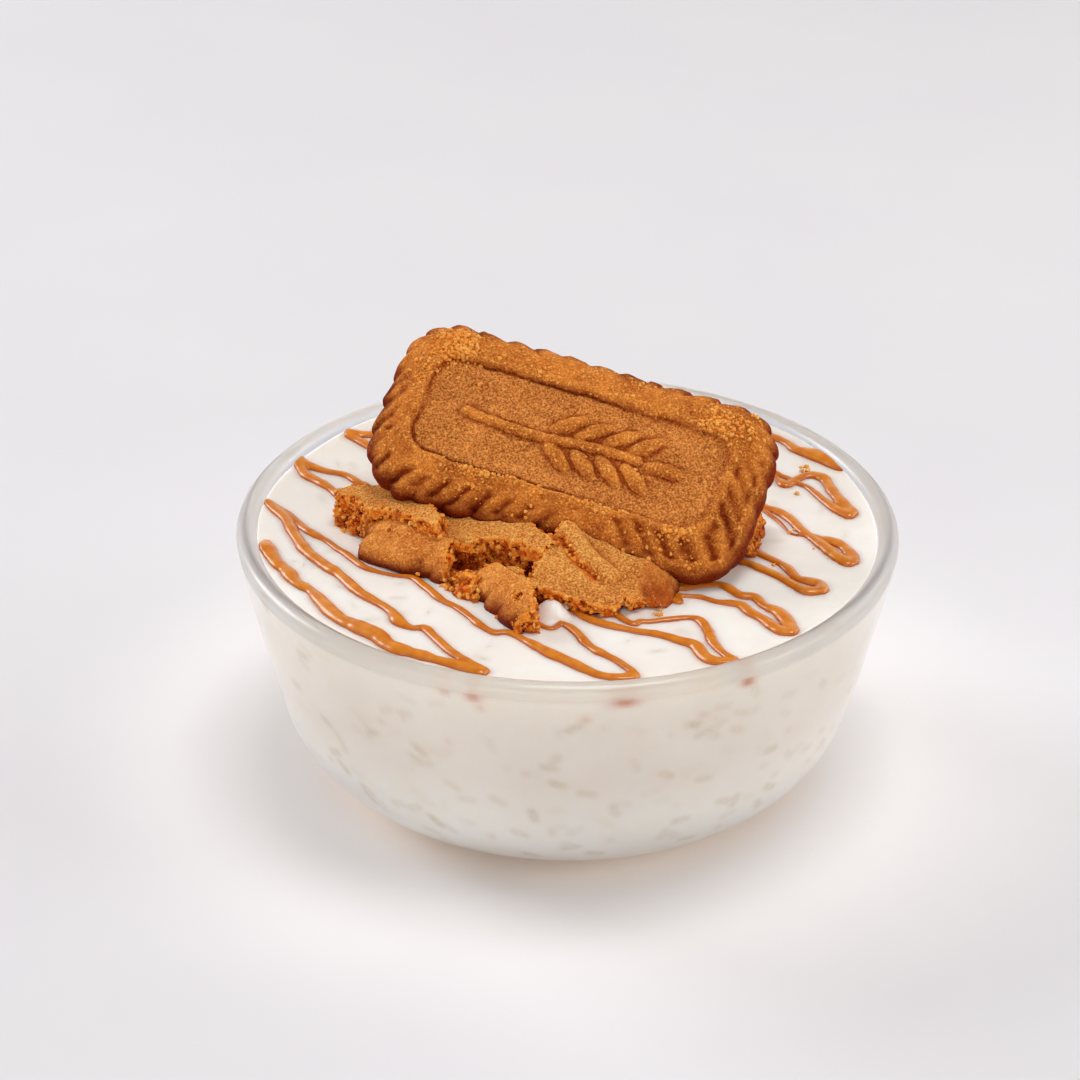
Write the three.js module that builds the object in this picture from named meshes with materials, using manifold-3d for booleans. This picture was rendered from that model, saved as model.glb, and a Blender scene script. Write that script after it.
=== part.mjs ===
// Rice pudding in a round clear glass bowl, filled almost to the rim. A thin caramel line is poured
// over it in a zigzag, and a whole caramelised biscuit leans on a small heap of broken ones.
//
// Millimetres, +Z up, origin at the middle of the bowl's flat base. -Y is the front.
import * as THREE from "three";
import { mergeVertices } from "three/addons/utils/BufferGeometryUtils.js";
import Module from "manifold-3d";

const wasm = await Module();
wasm.setup();

// ---------------------------------------------------------------- driving dimensions

const BOWL = {
  rimRadius: 55.3,
  height: 44.6,
  baseRadius: 29.4, // the flat that it stands on
  cornerRadius: 19.5, // of the curve from the base to the wall
  cornerSweep: THREE.MathUtils.degToRad(75.9),
  wallBulge: 0.2, // how far the wall stands out from a straight cone
  thickness: 3.4,
  lipRadius: 1.5,
  segments: 60,
};

const PUDDING = {
  belowRim: 2.0,
  undulation: 0.3,
  mound: { x: -2.4, y: -28.6, radius: 3.1, height: 2.2 }, // pushed up between two pieces of biscuit
  segments: 48,
  topRings: [0.995, 0.8, 0.55, 0.28], // shares of the radius
};

const DRIZZLE = { halfWidth: 0.9, height: 0.8, sunk: 0.5, blobRadius: 1.5, stepsPerPoint: 1 };

const BISCUIT = {
  length: 66.6,
  width: 32.8,
  thickness: 6.8,
  cornerRadius: 9.5,
  scallops: 36,
  scallopDepth: 0.45,
  creaseDepth: 0.75,
  creaseSlant: 0.55, // how far a crease runs along the edge for each millimetre inwards
  samplesPerScallop: 3,
  edgeHeight: 2.6, // of the widest line above the base
  panelInset: 7.4,
  panelDepth: 0.9,
};

const CLEARANCE = 0.3; // between pieces that touch
const PRISM_MARGIN = 2; // how far the cutting prisms run past the biscuit

const LEVEL = BOWL.height - PUDDING.belowRim;

// The poured line, front to back: each stroke starts at the turn where the last one ended.
const STROKES = [
  [[-49, -8], [-45, -17], [-39, -26], [-35, -32], [-27, -40], [-16, -46], [-12, -47]],
  [[-12, -47], [-19, -38.5], [-22.5, -34], [-26.5, -31], [-33, -22], [-43, -8.5], [-47, 0], [-49, 6]],
  [
    [-49, 6], [-38.5, -7], [-33, -15.5], [-25.5, -17.5], [-20.5, -25.5],
    [-14, -33.5], [-7.5, -36.5], [-1, -42.5], [5.5, -47.5], [11, -47.5],
  ],
  [[11, -47.5], [6, -41], [1.5, -32.5], [-3.5, -33], [-14, -20], [-28, -4], [-39.5, 11.5], [-45, 21.5]],
  [
    [-45, 21.5], [-37, 17], [-31, 11.5], [0, -24.5], [7, -32.5],
    [13.5, -34.5], [19.5, -37.5], [22, -41.5], [26.5, -42],
  ],
  [[26.5, -42], [24.5, -37], [22.5, -31.5], [19.5, -29.2], [12, -30.3], [-33, 28], [-38, 33]],
  [[-38, 33], [-32, 32], [17, -22], [22, -22.7], [28.5, -26], [31, -27.5], [33.5, -32], [36.5, -34]],
  [[36.5, -34], [34, -27.5], [31.5, -25.5], [27.5, -18], [24, -17.6], [19.5, -19.5], [-28, 41]],
  [[-28, 41], [29, -10], [35.5, -17.5], [38.5, -20.8], [42, -20.5]],
  [[42, -20.5], [38.7, -17], [33.3, -9.3], [29.5, -6.5], [-14, 47.5]],
  [[-14, 47.5], [34, -0.5], [42, -0.8], [46, -3.8], [48.2, -8.8]],
  [[48.2, -8.8], [44, -6.6], [41, -2.2], [38, 3.5], [33, 8], [0, 49]],
  [[0, 49], [35, 18.5], [39.5, 15.3], [42.6, 11.2], [45.7, 7], [49, 6.8]],
  [[49, 6.8], [46, 13], [43.8, 18], [41.5, 20], [37, 16.5], [16, 46.5]],
  [[16, 46.5], [36.5, 32], [43.3, 26.6], [46.5, 20.5]],
];

// Each piece is broken from such a biscuit. Its outline is in that biscuit's own frame, and runs past
// the baked edge where that edge is kept. "held" is the spot on the biscuit's top that lies at "at",
// whose height is counted from the pudding's level, and "turn" is the heading, the tip and the roll.
const WHOLE = { name: "biscuit", held: [0, 0], at: [0.15, -2.55, 17.9], turn: [-24.3, 36, 9.7] };
const PIECES = [
  {
    name: "piece_square",
    held: [20, 0],
    at: [6, -20, 5.5],
    turn: [-14, 18.5, 12],
    outline: [
      [9, -5.5], [10, -9], [15, -9.5], [22, -9.8], [27, -7.6], [29.5, -5.5],
      [34, -4], [34, 4], [22, 5], [11.8, 5.2], [10.6, -1.5],
    ],
  },
  {
    name: "piece_middle",
    held: [-18, -10],
    at: [-22, -13.4, 5.8],
    turn: [-32, 16, -3],
    outline: [
      [-35, -11], [-35, -18], [-12, -18], [-13.4, -13.5], [-13.2, -10], [-8.8, -7],
      [-5, -9.5], [0, -8.5], [-0.4, -1.5], [-7.8, -1.6], [-14.6, -4], [-21, -7],
    ],
  },
  {
    name: "piece_front",
    held: [-8, -12],
    at: [-9.7, -26.4, 4.6],
    turn: [-58, 10, -6],
    outline: [
      [-17, -18], [-1, -18], [1, -12.6], [-3, -9.8],
      [-6.9, -8.4], [-10.5, -7.6], [-14.6, -9.4], [-17, -12.5],
    ],
  },
  {
    name: "piece_left",
    held: [-12, 0],
    at: [-29.7, 2.7, 5.2],
    turn: [-22, 12, 6],
    outline: [
      [-20.3, -6.6], [-17.5, -8.2], [-12.6, -4.8], [-8.4, -4.2], [-0.9, -3],
      [-3, 1.5], [-9, 4], [-18, 1.5], [-21, -3],
    ],
  },
  {
    name: "piece_small",
    held: [-8, -14],
    at: [-16.2, -23.2, 2.9],
    turn: [-40, 6, 0],
    outline: [[-12.4, -14.6], [-11, -18], [-6.4, -18], [-6.6, -12.6], [-9.6, -12]],
  },
  {
    name: "piece_right",
    held: [26, 3],
    at: [25.6, -2.2, 4.2],
    turn: [-10, 3, 5],
    outline: [[14, -3], [20, -6], [28, -3.5], [34, -2], [34, 9], [24, 11], [15, 7]],
  },
  {
    name: "piece_under",
    held: [-2, -4],
    at: [-8, -1.5, 5.2],
    turn: [24, 4, 3],
    outline: [[-14, -9], [-6, -10], [3, -8.5], [10, -6], [9, 1], [3, 4.5], [-7, 3], [-13, 1]],
  },
  {
    name: "piece_rear",
    held: [-22, 0],
    at: [-8, 19.5, 5.2],
    turn: [172, 66, 0],
    outline: [
      [-34, -11], [-34, 18], [-9, 18], [-10.5, 9],
      [-8, 2], [-10.5, -5], [-18, -9.5], [-27, -9],
    ],
  },
];

// ---------------------------------------------------------------- materials

const MATERIALS = {
  glass: new THREE.MeshStandardMaterial({
    color: "#f2f5f6",
    roughness: 0.05,
    metalness: 0,
    transparent: true,
    opacity: 0.3,
  }),
  pudding: new THREE.MeshStandardMaterial({ color: "#f5f2ec", roughness: 0.35, metalness: 0 }),
  biscuit: new THREE.MeshStandardMaterial({ color: "#b0672c", roughness: 0.85, metalness: 0 }),
  brokenBiscuit: new THREE.MeshStandardMaterial({ color: "#c07a30", roughness: 0.9, metalness: 0 }),
};

// ---------------------------------------------------------------- solids and poses

function solidOf(geometry) {
  const bare = geometry.index ? geometry.toNonIndexed() : geometry;
  const positions = new THREE.BufferGeometry().setAttribute("position", bare.getAttribute("position"));
  const merged = mergeVertices(positions, 1e-4);
  const mesh = new wasm.Mesh({
    numProp: 3,
    vertProperties: merged.attributes.position.array,
    triVerts: new Uint32Array(merged.index.array),
  });
  return new wasm.Manifold(mesh);
}

function geometryOf(solid) {
  const mesh = solid.getMesh();
  const geometry = new THREE.BufferGeometry();
  geometry.setAttribute("position", new THREE.BufferAttribute(mesh.vertProperties, 3));
  geometry.setIndex(new THREE.BufferAttribute(mesh.triVerts, 1));
  geometry.computeVertexNormals();
  return geometry;
}

function largestBody(solid) {
  const bodies = solid.decompose();
  return bodies.reduce((best, body) => (body.volume() > best.volume() ? body : best));
}

// The matrix that takes a biscuit's own frame to the bowl's.
function poseOf({ held, at, turn }) {
  const [heading, tip, roll] = turn.map(THREE.MathUtils.degToRad);
  const rotation = new THREE.Matrix4().makeRotationFromEuler(new THREE.Euler(tip, roll, heading, "ZXY"));
  const place = new THREE.Matrix4().makeTranslation(at[0], at[1], LEVEL + at[2]);
  const back = new THREE.Matrix4().makeTranslation(-held[0], -held[1], 0);
  return place.multiply(rotation).multiply(back);
}

function moved(solid, matrix) {
  return solid.transform(matrix.elements);
}

// A closed surface through a stack of rings, lowest first, each running anticlockwise seen from above,
// with a fan to a middle point at either end.
function ringStack(rings, low, high) {
  const count = rings[0].length;
  const points = [...rings.flat(), low, high];
  const lowIndex = points.length - 2;
  const highIndex = points.length - 1;
  const lastRing = (rings.length - 1) * count;
  const index = [];
  for (let j = 0; j < count; j++) {
    const next = (j + 1) % count;
    index.push(lowIndex, next, j);
    index.push(highIndex, lastRing + j, lastRing + next);
    for (let i = 0; i < rings.length - 1; i++) {
      const a = i * count + j;
      const b = i * count + next;
      index.push(a, b, b + count);
      index.push(a, b + count, a + count);
    }
  }
  return new THREE.BufferGeometry().setFromPoints(points).setIndex(index);
}

// ---------------------------------------------------------------- bowl

// The wall's section from the axis to the height "top", moved inwards by "inset": [radius, height] pairs.
function wallSection(inset, top, cornerSteps, wallSteps) {
  const { rimRadius, height, baseRadius, cornerRadius, cornerSweep, wallBulge } = BOWL;
  const section = [];
  for (let i = 0; i <= cornerSteps; i++) {
    const angle = (cornerSweep * i) / cornerSteps;
    const reach = cornerRadius - inset;
    section.push([baseRadius + reach * Math.sin(angle), cornerRadius - reach * Math.cos(angle)]);
  }
  const foot = [
    baseRadius + cornerRadius * Math.sin(cornerSweep),
    cornerRadius - cornerRadius * Math.cos(cornerSweep),
  ];
  const rise = [rimRadius - foot[0], height - foot[1]];
  const length = Math.hypot(...rise);
  const outward = [rise[1] / length, -rise[0] / length];
  const share = (top - foot[1] + inset * outward[1]) / rise[1];
  for (let i = 1; i <= wallSteps; i++) {
    const t = (share * i) / wallSteps;
    const out = 4 * wallBulge * t * (1 - t) - inset;
    section.push([foot[0] + rise[0] * t + outward[0] * out, foot[1] + rise[1] * t + outward[1] * out]);
  }
  return section;
}

function bowl() {
  const { height, thickness, lipRadius, segments } = BOWL;
  const outside = wallSection(0, height - lipRadius, 5, 2);
  const inside = wallSection(thickness, height - lipRadius, 4, 2);
  const outerEdge = outside.at(-1);
  const innerEdge = inside.at(-1);
  const lip = [35, 90, 145].map((degrees) => {
    const angle = THREE.MathUtils.degToRad(degrees);
    const middle = (outerEdge[0] + innerEdge[0]) / 2;
    const reach = (outerEdge[0] - innerEdge[0]) / 2;
    return [middle + reach * Math.cos(angle), outerEdge[1] + lipRadius * Math.sin(angle)];
  });
  const section = [[0, 0], ...outside, ...lip, ...inside.reverse(), [0, thickness]];
  const geometry = new THREE.LatheGeometry(
    section.map(([radius, z]) => new THREE.Vector2(Math.max(radius, 0), z)),
    segments,
  );
  return geometry.rotateX(Math.PI / 2);
}

// ---------------------------------------------------------------- pudding

function surfaceHeight(x, y) {
  const wave = Math.sin(x / 10.5 + 1.1) * Math.cos(y / 12.3 + 0.4) + 0.5 * Math.sin((x + y) / 9.1);
  return LEVEL + PUDDING.undulation * wave;
}

function puddingBody() {
  const inset = BOWL.thickness + CLEARANCE;
  const section = wallSection(inset, LEVEL - 1, 5, 2);
  const topRadius = section.at(-1)[0];
  const ring = (radius, height) =>
    Array.from({ length: PUDDING.segments }, (_, j) => {
      const angle = (2 * Math.PI * j) / PUDDING.segments;
      const x = radius * Math.cos(angle);
      const y = radius * Math.sin(angle);
      return new THREE.Vector3(x, y, height ?? surfaceHeight(x, y));
    });
  const rings = [
    ...section.map(([radius, z]) => ring(radius, z)),
    ...PUDDING.topRings.map((share) => ring(topRadius * share)),
  ];
  const low = new THREE.Vector3(0, 0, inset);
  const high = new THREE.Vector3(0, 0, surfaceHeight(0, 0));
  return solidOf(ringStack(rings, low, high));
}

// One stroke: rings of a low arched section, wider than high, along a smooth line over the surface.
function strokeSolid(stroke) {
  const { halfWidth, height, sunk, stepsPerPoint } = DRIZZLE;
  const section = [[-1, -sunk], [1, -sunk], [0.85, 0.5 * height], [0, height], [-0.85, 0.5 * height]];
  const plan = new THREE.CatmullRomCurve3(stroke.map(([x, y]) => new THREE.Vector3(x, y, 0)));
  const steps = stepsPerPoint * (stroke.length - 1);
  const middles = plan.getPoints(steps).map(({ x, y }) => new THREE.Vector3(x, y, surfaceHeight(x, y)));
  const rings = middles.map((middle, i) => {
    const { x, y } = plan.getTangent(i / steps);
    return section.map(([across, up]) => {
      return new THREE.Vector3(-y * across * halfWidth, x * across * halfWidth, up).add(middle);
    });
  });
  return solidOf(ringStack(rings, middles[0], middles.at(-1)));
}

function blobSolid([x, y]) {
  const blob = new THREE.SphereGeometry(1, 6, 4).rotateX(Math.PI / 2);
  blob.scale(DRIZZLE.blobRadius, DRIZZLE.blobRadius, 1.2 * DRIZZLE.height);
  return solidOf(blob.translate(x, y, surfaceHeight(x, y)));
}

function drizzle() {
  const turns = [...STROKES.map((stroke) => stroke[0]), STROKES.at(-1).at(-1)];
  const poured = wasm.Manifold.union([...STROKES.map(strokeSolid), ...turns.map(blobSolid)]);
  const reach = wallSection(BOWL.thickness + CLEARANCE, LEVEL - 1, 5, 2).at(-1)[0];
  const inside = new THREE.CylinderGeometry(reach, reach, BOWL.height, PUDDING.segments);
  inside.rotateX(Math.PI / 2).translate(0, 0, LEVEL);
  return poured.intersect(solidOf(inside));
}

function moundSolid() {
  const { x, y, radius, height } = PUDDING.mound;
  const mound = new THREE.SphereGeometry(1, 10, 6).rotateX(Math.PI / 2);
  mound.scale(radius, radius, height);
  return solidOf(mound.translate(x, y, surfaceHeight(x, y)));
}

function pudding(toppings) {
  let solid = wasm.Manifold.union([puddingBody(), moundSolid(), drizzle()]);
  for (const topping of toppings) {
    solid = solid.subtract(moved(biscuitSolid(topping, CLEARANCE), poseOf(topping)));
  }
  return geometryOf(largestBody(solid));
}

// ---------------------------------------------------------------- biscuit

const HALF = [BISCUIT.length / 2, BISCUIT.width / 2];
const STRAIGHT = [BISCUIT.length - 2 * BISCUIT.cornerRadius, BISCUIT.width - 2 * BISCUIT.cornerRadius];
const CORNER_ARC = (BISCUIT.cornerRadius * Math.PI) / 2;
const PERIMETER = 2 * (STRAIGHT[0] + STRAIGHT[1]) + 4 * CORNER_ARC;

// The point at the distance "along" round the biscuit's edge, moved inwards by "inset".
function edgePoint(along, inset) {
  const { cornerRadius } = BISCUIT;
  let rest = THREE.MathUtils.euclideanModulo(along, PERIMETER);
  const turned = (out, side, quarter) => {
    return new THREE.Vector2(out, side).rotateAround(new THREE.Vector2(), (quarter * Math.PI) / 2);
  };
  for (let quarter = 0; quarter < 4; quarter++) {
    const reach = HALF[quarter % 2];
    const straight = STRAIGHT[1 - (quarter % 2)];
    if (rest <= straight) return turned(reach - inset, rest - straight / 2, quarter);
    rest -= straight;
    if (rest <= CORNER_ARC) {
      const angle = rest / cornerRadius;
      const radius = cornerRadius - inset;
      const out = reach - cornerRadius + radius * Math.cos(angle);
      return turned(out, straight / 2 + radius * Math.sin(angle), quarter);
    }
    rest -= CORNER_ARC;
  }
  return turned(HALF[0] - inset, -STRAIGHT[1] / 2, 0);
}

// A whole biscuit, "grow" larger all round: flat below, a crimped edge that slopes up to a low ridge,
// and a sunk flat panel inside it. Ring by ring: inset, height and how strongly it is crimped.
function wholeBiscuit(grow) {
  const { thickness, scallops, samplesPerScallop, scallopDepth, creaseDepth, creaseSlant } = BISCUIT;
  const { edgeHeight, panelInset, panelDepth } = BISCUIT;
  const widest = edgeHeight - thickness;
  const profile = [
    [panelInset + 1.2, -thickness - grow, 0],
    [1.4 - grow, -thickness - grow, 0.2],
    [0.3 - grow, -thickness + 0.9, 0.7],
    [-grow, widest, 1],
    [0.9 - grow, 0.6 * widest + grow, 1],
    [2.6 - grow, 0.25 * widest + grow, 1],
    [panelInset - 2.1 - grow, grow, 0.25],
    [panelInset, grow - panelDepth, 0],
    [panelInset + 1.2, grow - panelDepth, 0],
  ];
  const count = scallops * samplesPerScallop;
  const rings = profile.map(([inset, z, crimp]) =>
    Array.from({ length: count }, (_, k) => {
      const lobe = Math.abs(Math.sin((Math.PI * k) / samplesPerScallop));
      const along = (PERIMETER * k) / count + creaseSlant * Math.max(inset, 0);
      const { x, y } = edgePoint(along, inset + scallopDepth * crimp * (1 - lobe));
      const crease = z > -thickness / 2 ? creaseDepth * crimp * (1 - lobe) : 0;
      return new THREE.Vector3(x, y, z - crease);
    }),
  );
  const low = new THREE.Vector3(0, 0, -thickness - grow);
  const high = new THREE.Vector3(0, 0, grow - panelDepth);
  return solidOf(ringStack(rings, low, high));
}

// A plain ear of grain in raised relief: a stem with pairs of grains along it.
function reliefSolids() {
  const grainAt = (x, y, angle) => {
    const grain = new THREE.SphereGeometry(1, 6, 4);
    grain.scale(3.1, 1.25, 0.95);
    grain.rotateZ(angle);
    grain.translate(x, y, -BISCUIT.panelDepth);
    return solidOf(grain);
  };
  const stem = new THREE.CylinderGeometry(0.6, 0.6, 30, 6).rotateZ(Math.PI / 2);
  stem.translate(-3.5, 0, -BISCUIT.panelDepth + 0.15);
  const solids = [solidOf(stem), grainAt(16.5, 0, 0)];
  const lean = THREE.MathUtils.degToRad(34);
  for (const x of [-3.5, 1, 5.5, 10]) {
    solids.push(grainAt(x + 2.2, 2.9, lean), grainAt(x + 2.2, -2.9, -lean));
  }
  return solids;
}

// The outline, run anticlockwise, with each side moved outwards by "grow".
function grownOutline(outline, grow) {
  const points = outline.map(([x, y]) => new THREE.Vector2(x, y));
  if (THREE.ShapeUtils.area(points) < 0) points.reverse();
  return points.map((point, i) => {
    const before = point.clone().sub(points.at(i - 1)).normalize();
    const after = points[(i + 1) % points.length].clone().sub(point).normalize();
    const outward = new THREE.Vector2(before.y + after.y, -before.x - after.x).normalize();
    const spread = Math.max(outward.x * before.y - outward.y * before.x, 0.4);
    return point.clone().addScaledVector(outward, grow / spread);
  });
}

function prism(outline, grow) {
  const grown = grownOutline(outline, grow);
  const depth = BISCUIT.thickness + 2 * PRISM_MARGIN;
  const geometry = new THREE.ExtrudeGeometry(new THREE.Shape(grown), { depth, bevelEnabled: false });
  return solidOf(geometry.translate(0, 0, -BISCUIT.thickness - PRISM_MARGIN));
}

function biscuitSolid({ outline }, grow) {
  const whole = wholeBiscuit(grow);
  return outline ? whole.intersect(prism(outline, grow)) : whole;
}

// A piece in its own biscuit's frame, cut clear of the ones that were laid before it.
function pieceGeometry(piece, before) {
  const inverse = poseOf(piece).invert();
  let solid = biscuitSolid(piece, 0);
  if (!piece.outline) solid = wasm.Manifold.union([solid, ...reliefSolids()]);
  for (const other of before) {
    const toHere = inverse.clone().multiply(poseOf(other));
    solid = solid.subtract(moved(biscuitSolid(other, CLEARANCE), toHere));
  }
  return geometryOf(largestBody(solid));
}

// ---------------------------------------------------------------- the dessert

function mesh(name, geometry, material) {
  const made = new THREE.Mesh(geometry, material);
  made.name = name;
  return made;
}

const toppings = [WHOLE, ...PIECES];
const dessert = new THREE.Group();
dessert.add(mesh("bowl", bowl(), MATERIALS.glass));
dessert.add(mesh("pudding", pudding(toppings), MATERIALS.pudding));
toppings.forEach((topping, i) => {
  const material = topping === WHOLE ? MATERIALS.biscuit : MATERIALS.brokenBiscuit;
  const made = mesh(topping.name, pieceGeometry(topping, toppings.slice(0, i)), material);
  made.applyMatrix4(poseOf(topping));
  dessert.add(made);
});

export default dessert;
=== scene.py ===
"""The looks of a rice pudding in its clear glass bowl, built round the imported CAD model.

Lengths are in millimetres until a mesh is made. +Z is up, -Y is the front, and the origin is the middle of
the bowl's flat base. A biscuit has a frame of its own: X along it, Y across it, and Z up from its ridge.
"""

import math

import bpy
import numpy as np
from mathutils import Euler, Matrix, Vector


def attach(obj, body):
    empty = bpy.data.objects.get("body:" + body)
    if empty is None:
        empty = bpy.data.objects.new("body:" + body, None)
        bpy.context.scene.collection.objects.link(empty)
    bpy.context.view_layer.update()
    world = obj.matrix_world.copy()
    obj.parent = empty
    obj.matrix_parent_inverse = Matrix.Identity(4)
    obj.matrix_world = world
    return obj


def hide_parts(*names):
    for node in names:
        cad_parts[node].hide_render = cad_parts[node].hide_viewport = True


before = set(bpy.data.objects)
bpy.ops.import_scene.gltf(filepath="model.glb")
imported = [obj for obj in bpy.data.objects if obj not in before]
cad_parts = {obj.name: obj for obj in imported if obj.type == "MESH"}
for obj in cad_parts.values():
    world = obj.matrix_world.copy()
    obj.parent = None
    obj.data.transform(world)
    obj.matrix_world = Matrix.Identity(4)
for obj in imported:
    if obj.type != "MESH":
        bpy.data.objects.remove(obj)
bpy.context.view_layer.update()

MM = 0.001

# ---------------------------------------------------------------- driving dimensions

RIM_RADIUS, BOWL_HEIGHT, BASE_RADIUS = 55.3, 44.6, 29.4
CORNER_RADIUS, CORNER_SWEEP = 19.5, math.radians(75.9)
WALL_BULGE, THICKNESS, LIP_RADIUS = 0.2, 3.4, 1.5
BOWL_SEGMENTS = 256
CORNER_STEPS, WALL_STEPS, LIP_STEPS = 24, 16, 16  # along the bowl's section
BASE_RINGS = (20, 10, 0)  # radii that divide its flat base

LEVEL = BOWL_HEIGHT - 2.0  # of the pudding
INTO_WALL = 0.15  # how far the pudding reaches into the glass, so that no air shows between them
MENISCUS, MENISCUS_WIDTH = 0.5, 1.1  # how far the pudding climbs the glass, and over what width
WAVES, BUMPS, RIPPLES = 0.3, 0.16, 0.07  # how high the unevenness of its top is, from broad to fine
MOUND = dict(x=-2.4, y=-28.4, radius=2.9, height=2.5)
PUDDING_SEGMENTS, TOP_RINGS, SIDE_RINGS = 420, 120, 84
BOTTOM_RINGS = (20, 8)  # radii that divide its bottom
SIDE_GRAINS, TOP_GRAINS = 430, 120  # of rice that show
GRAIN_SIZE = np.array([0.7, 0.6, 1.6])  # radii across, outwards and along a grain of rice
GRAIN_REACH = 48  # how far from the middle grains show on top

LENGTH, WIDTH, BISCUIT_THICKNESS = 66.6, 32.8, 6.8
BISCUIT_CORNER = 9.5
CRIMPS, CREASES = 36, 50  # the lobes and the dents round a biscuit's edge
CREASE_DEPTH, CREASE_LEAN = 1.0, 50  # the lean is in degrees from the biscuit's length
SCALLOP_DEPTH, CRACK_DEPTH = 0.75, 0.45
PANEL_INSET, PANEL_DEPTH, PANEL_CORNER = 7.4, 0.9, 4.6
STEM, STEM_RADIUS = (-18.5, 11.5), 0.85  # of the ear in relief: where its stem starts and ends along X
EAR_GRAIN = (3.3, 1.25, 1.2)  # radii of a grain of the ear
SWELL, THICKER = 0.8, 0.2  # of the whole biscuit's lower left side: millimetres out, and a share more deep
UNEVEN_RANGE = 0.32  # from the bottom of a pore to a crest, over which the painted shade of pores and painted light of crests follow the surface
UNDERSIDE_PALER = 0.8  # than the side of a biscuit, as a share of how much darker its browning and painted shade make the side than the top
CLEARANCE = 0.12  # between pieces of biscuit that touch
CARAMEL_RISE = 0.62  # how high a stroke stands for each half width
CARAMEL_SPREAD = 1.28  # how much wider a stroke runs than its points say
STROKE_SPACING, STROKE_REACH = 0.2, 4.2  # between a stroke's samples, and how far from them it is worked out
FAR = 9.0  # stands for all that is out of a stroke's reach
GRID_UNDER, GRID_TALL = 1.8, 6.3  # how far under the level the caramel's grid starts, and how tall it is
MELTING = 12.0  # the larger, the sharper the seam between strokes that touch
BISCUIT_STEP, PIECE_STEP, CARAMEL_STEP = 0.29, 0.25, 0.28  # of the grids that are meshed

GLASS_IOR, GLASS_BOUNCES = 1.5, 24
CAMERA_PLACE = (0, -559.4, 346.95)
CAMERA_TURN = (61.2874, -0.4762, 0.7292)  # degrees about X, Y and Z
LENS, SENSOR = 127.5, 36  # millimetres
FLOOR_HALF = 3.0  # metres

# ---------------------------------------------------------------- where the pieces lie

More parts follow.
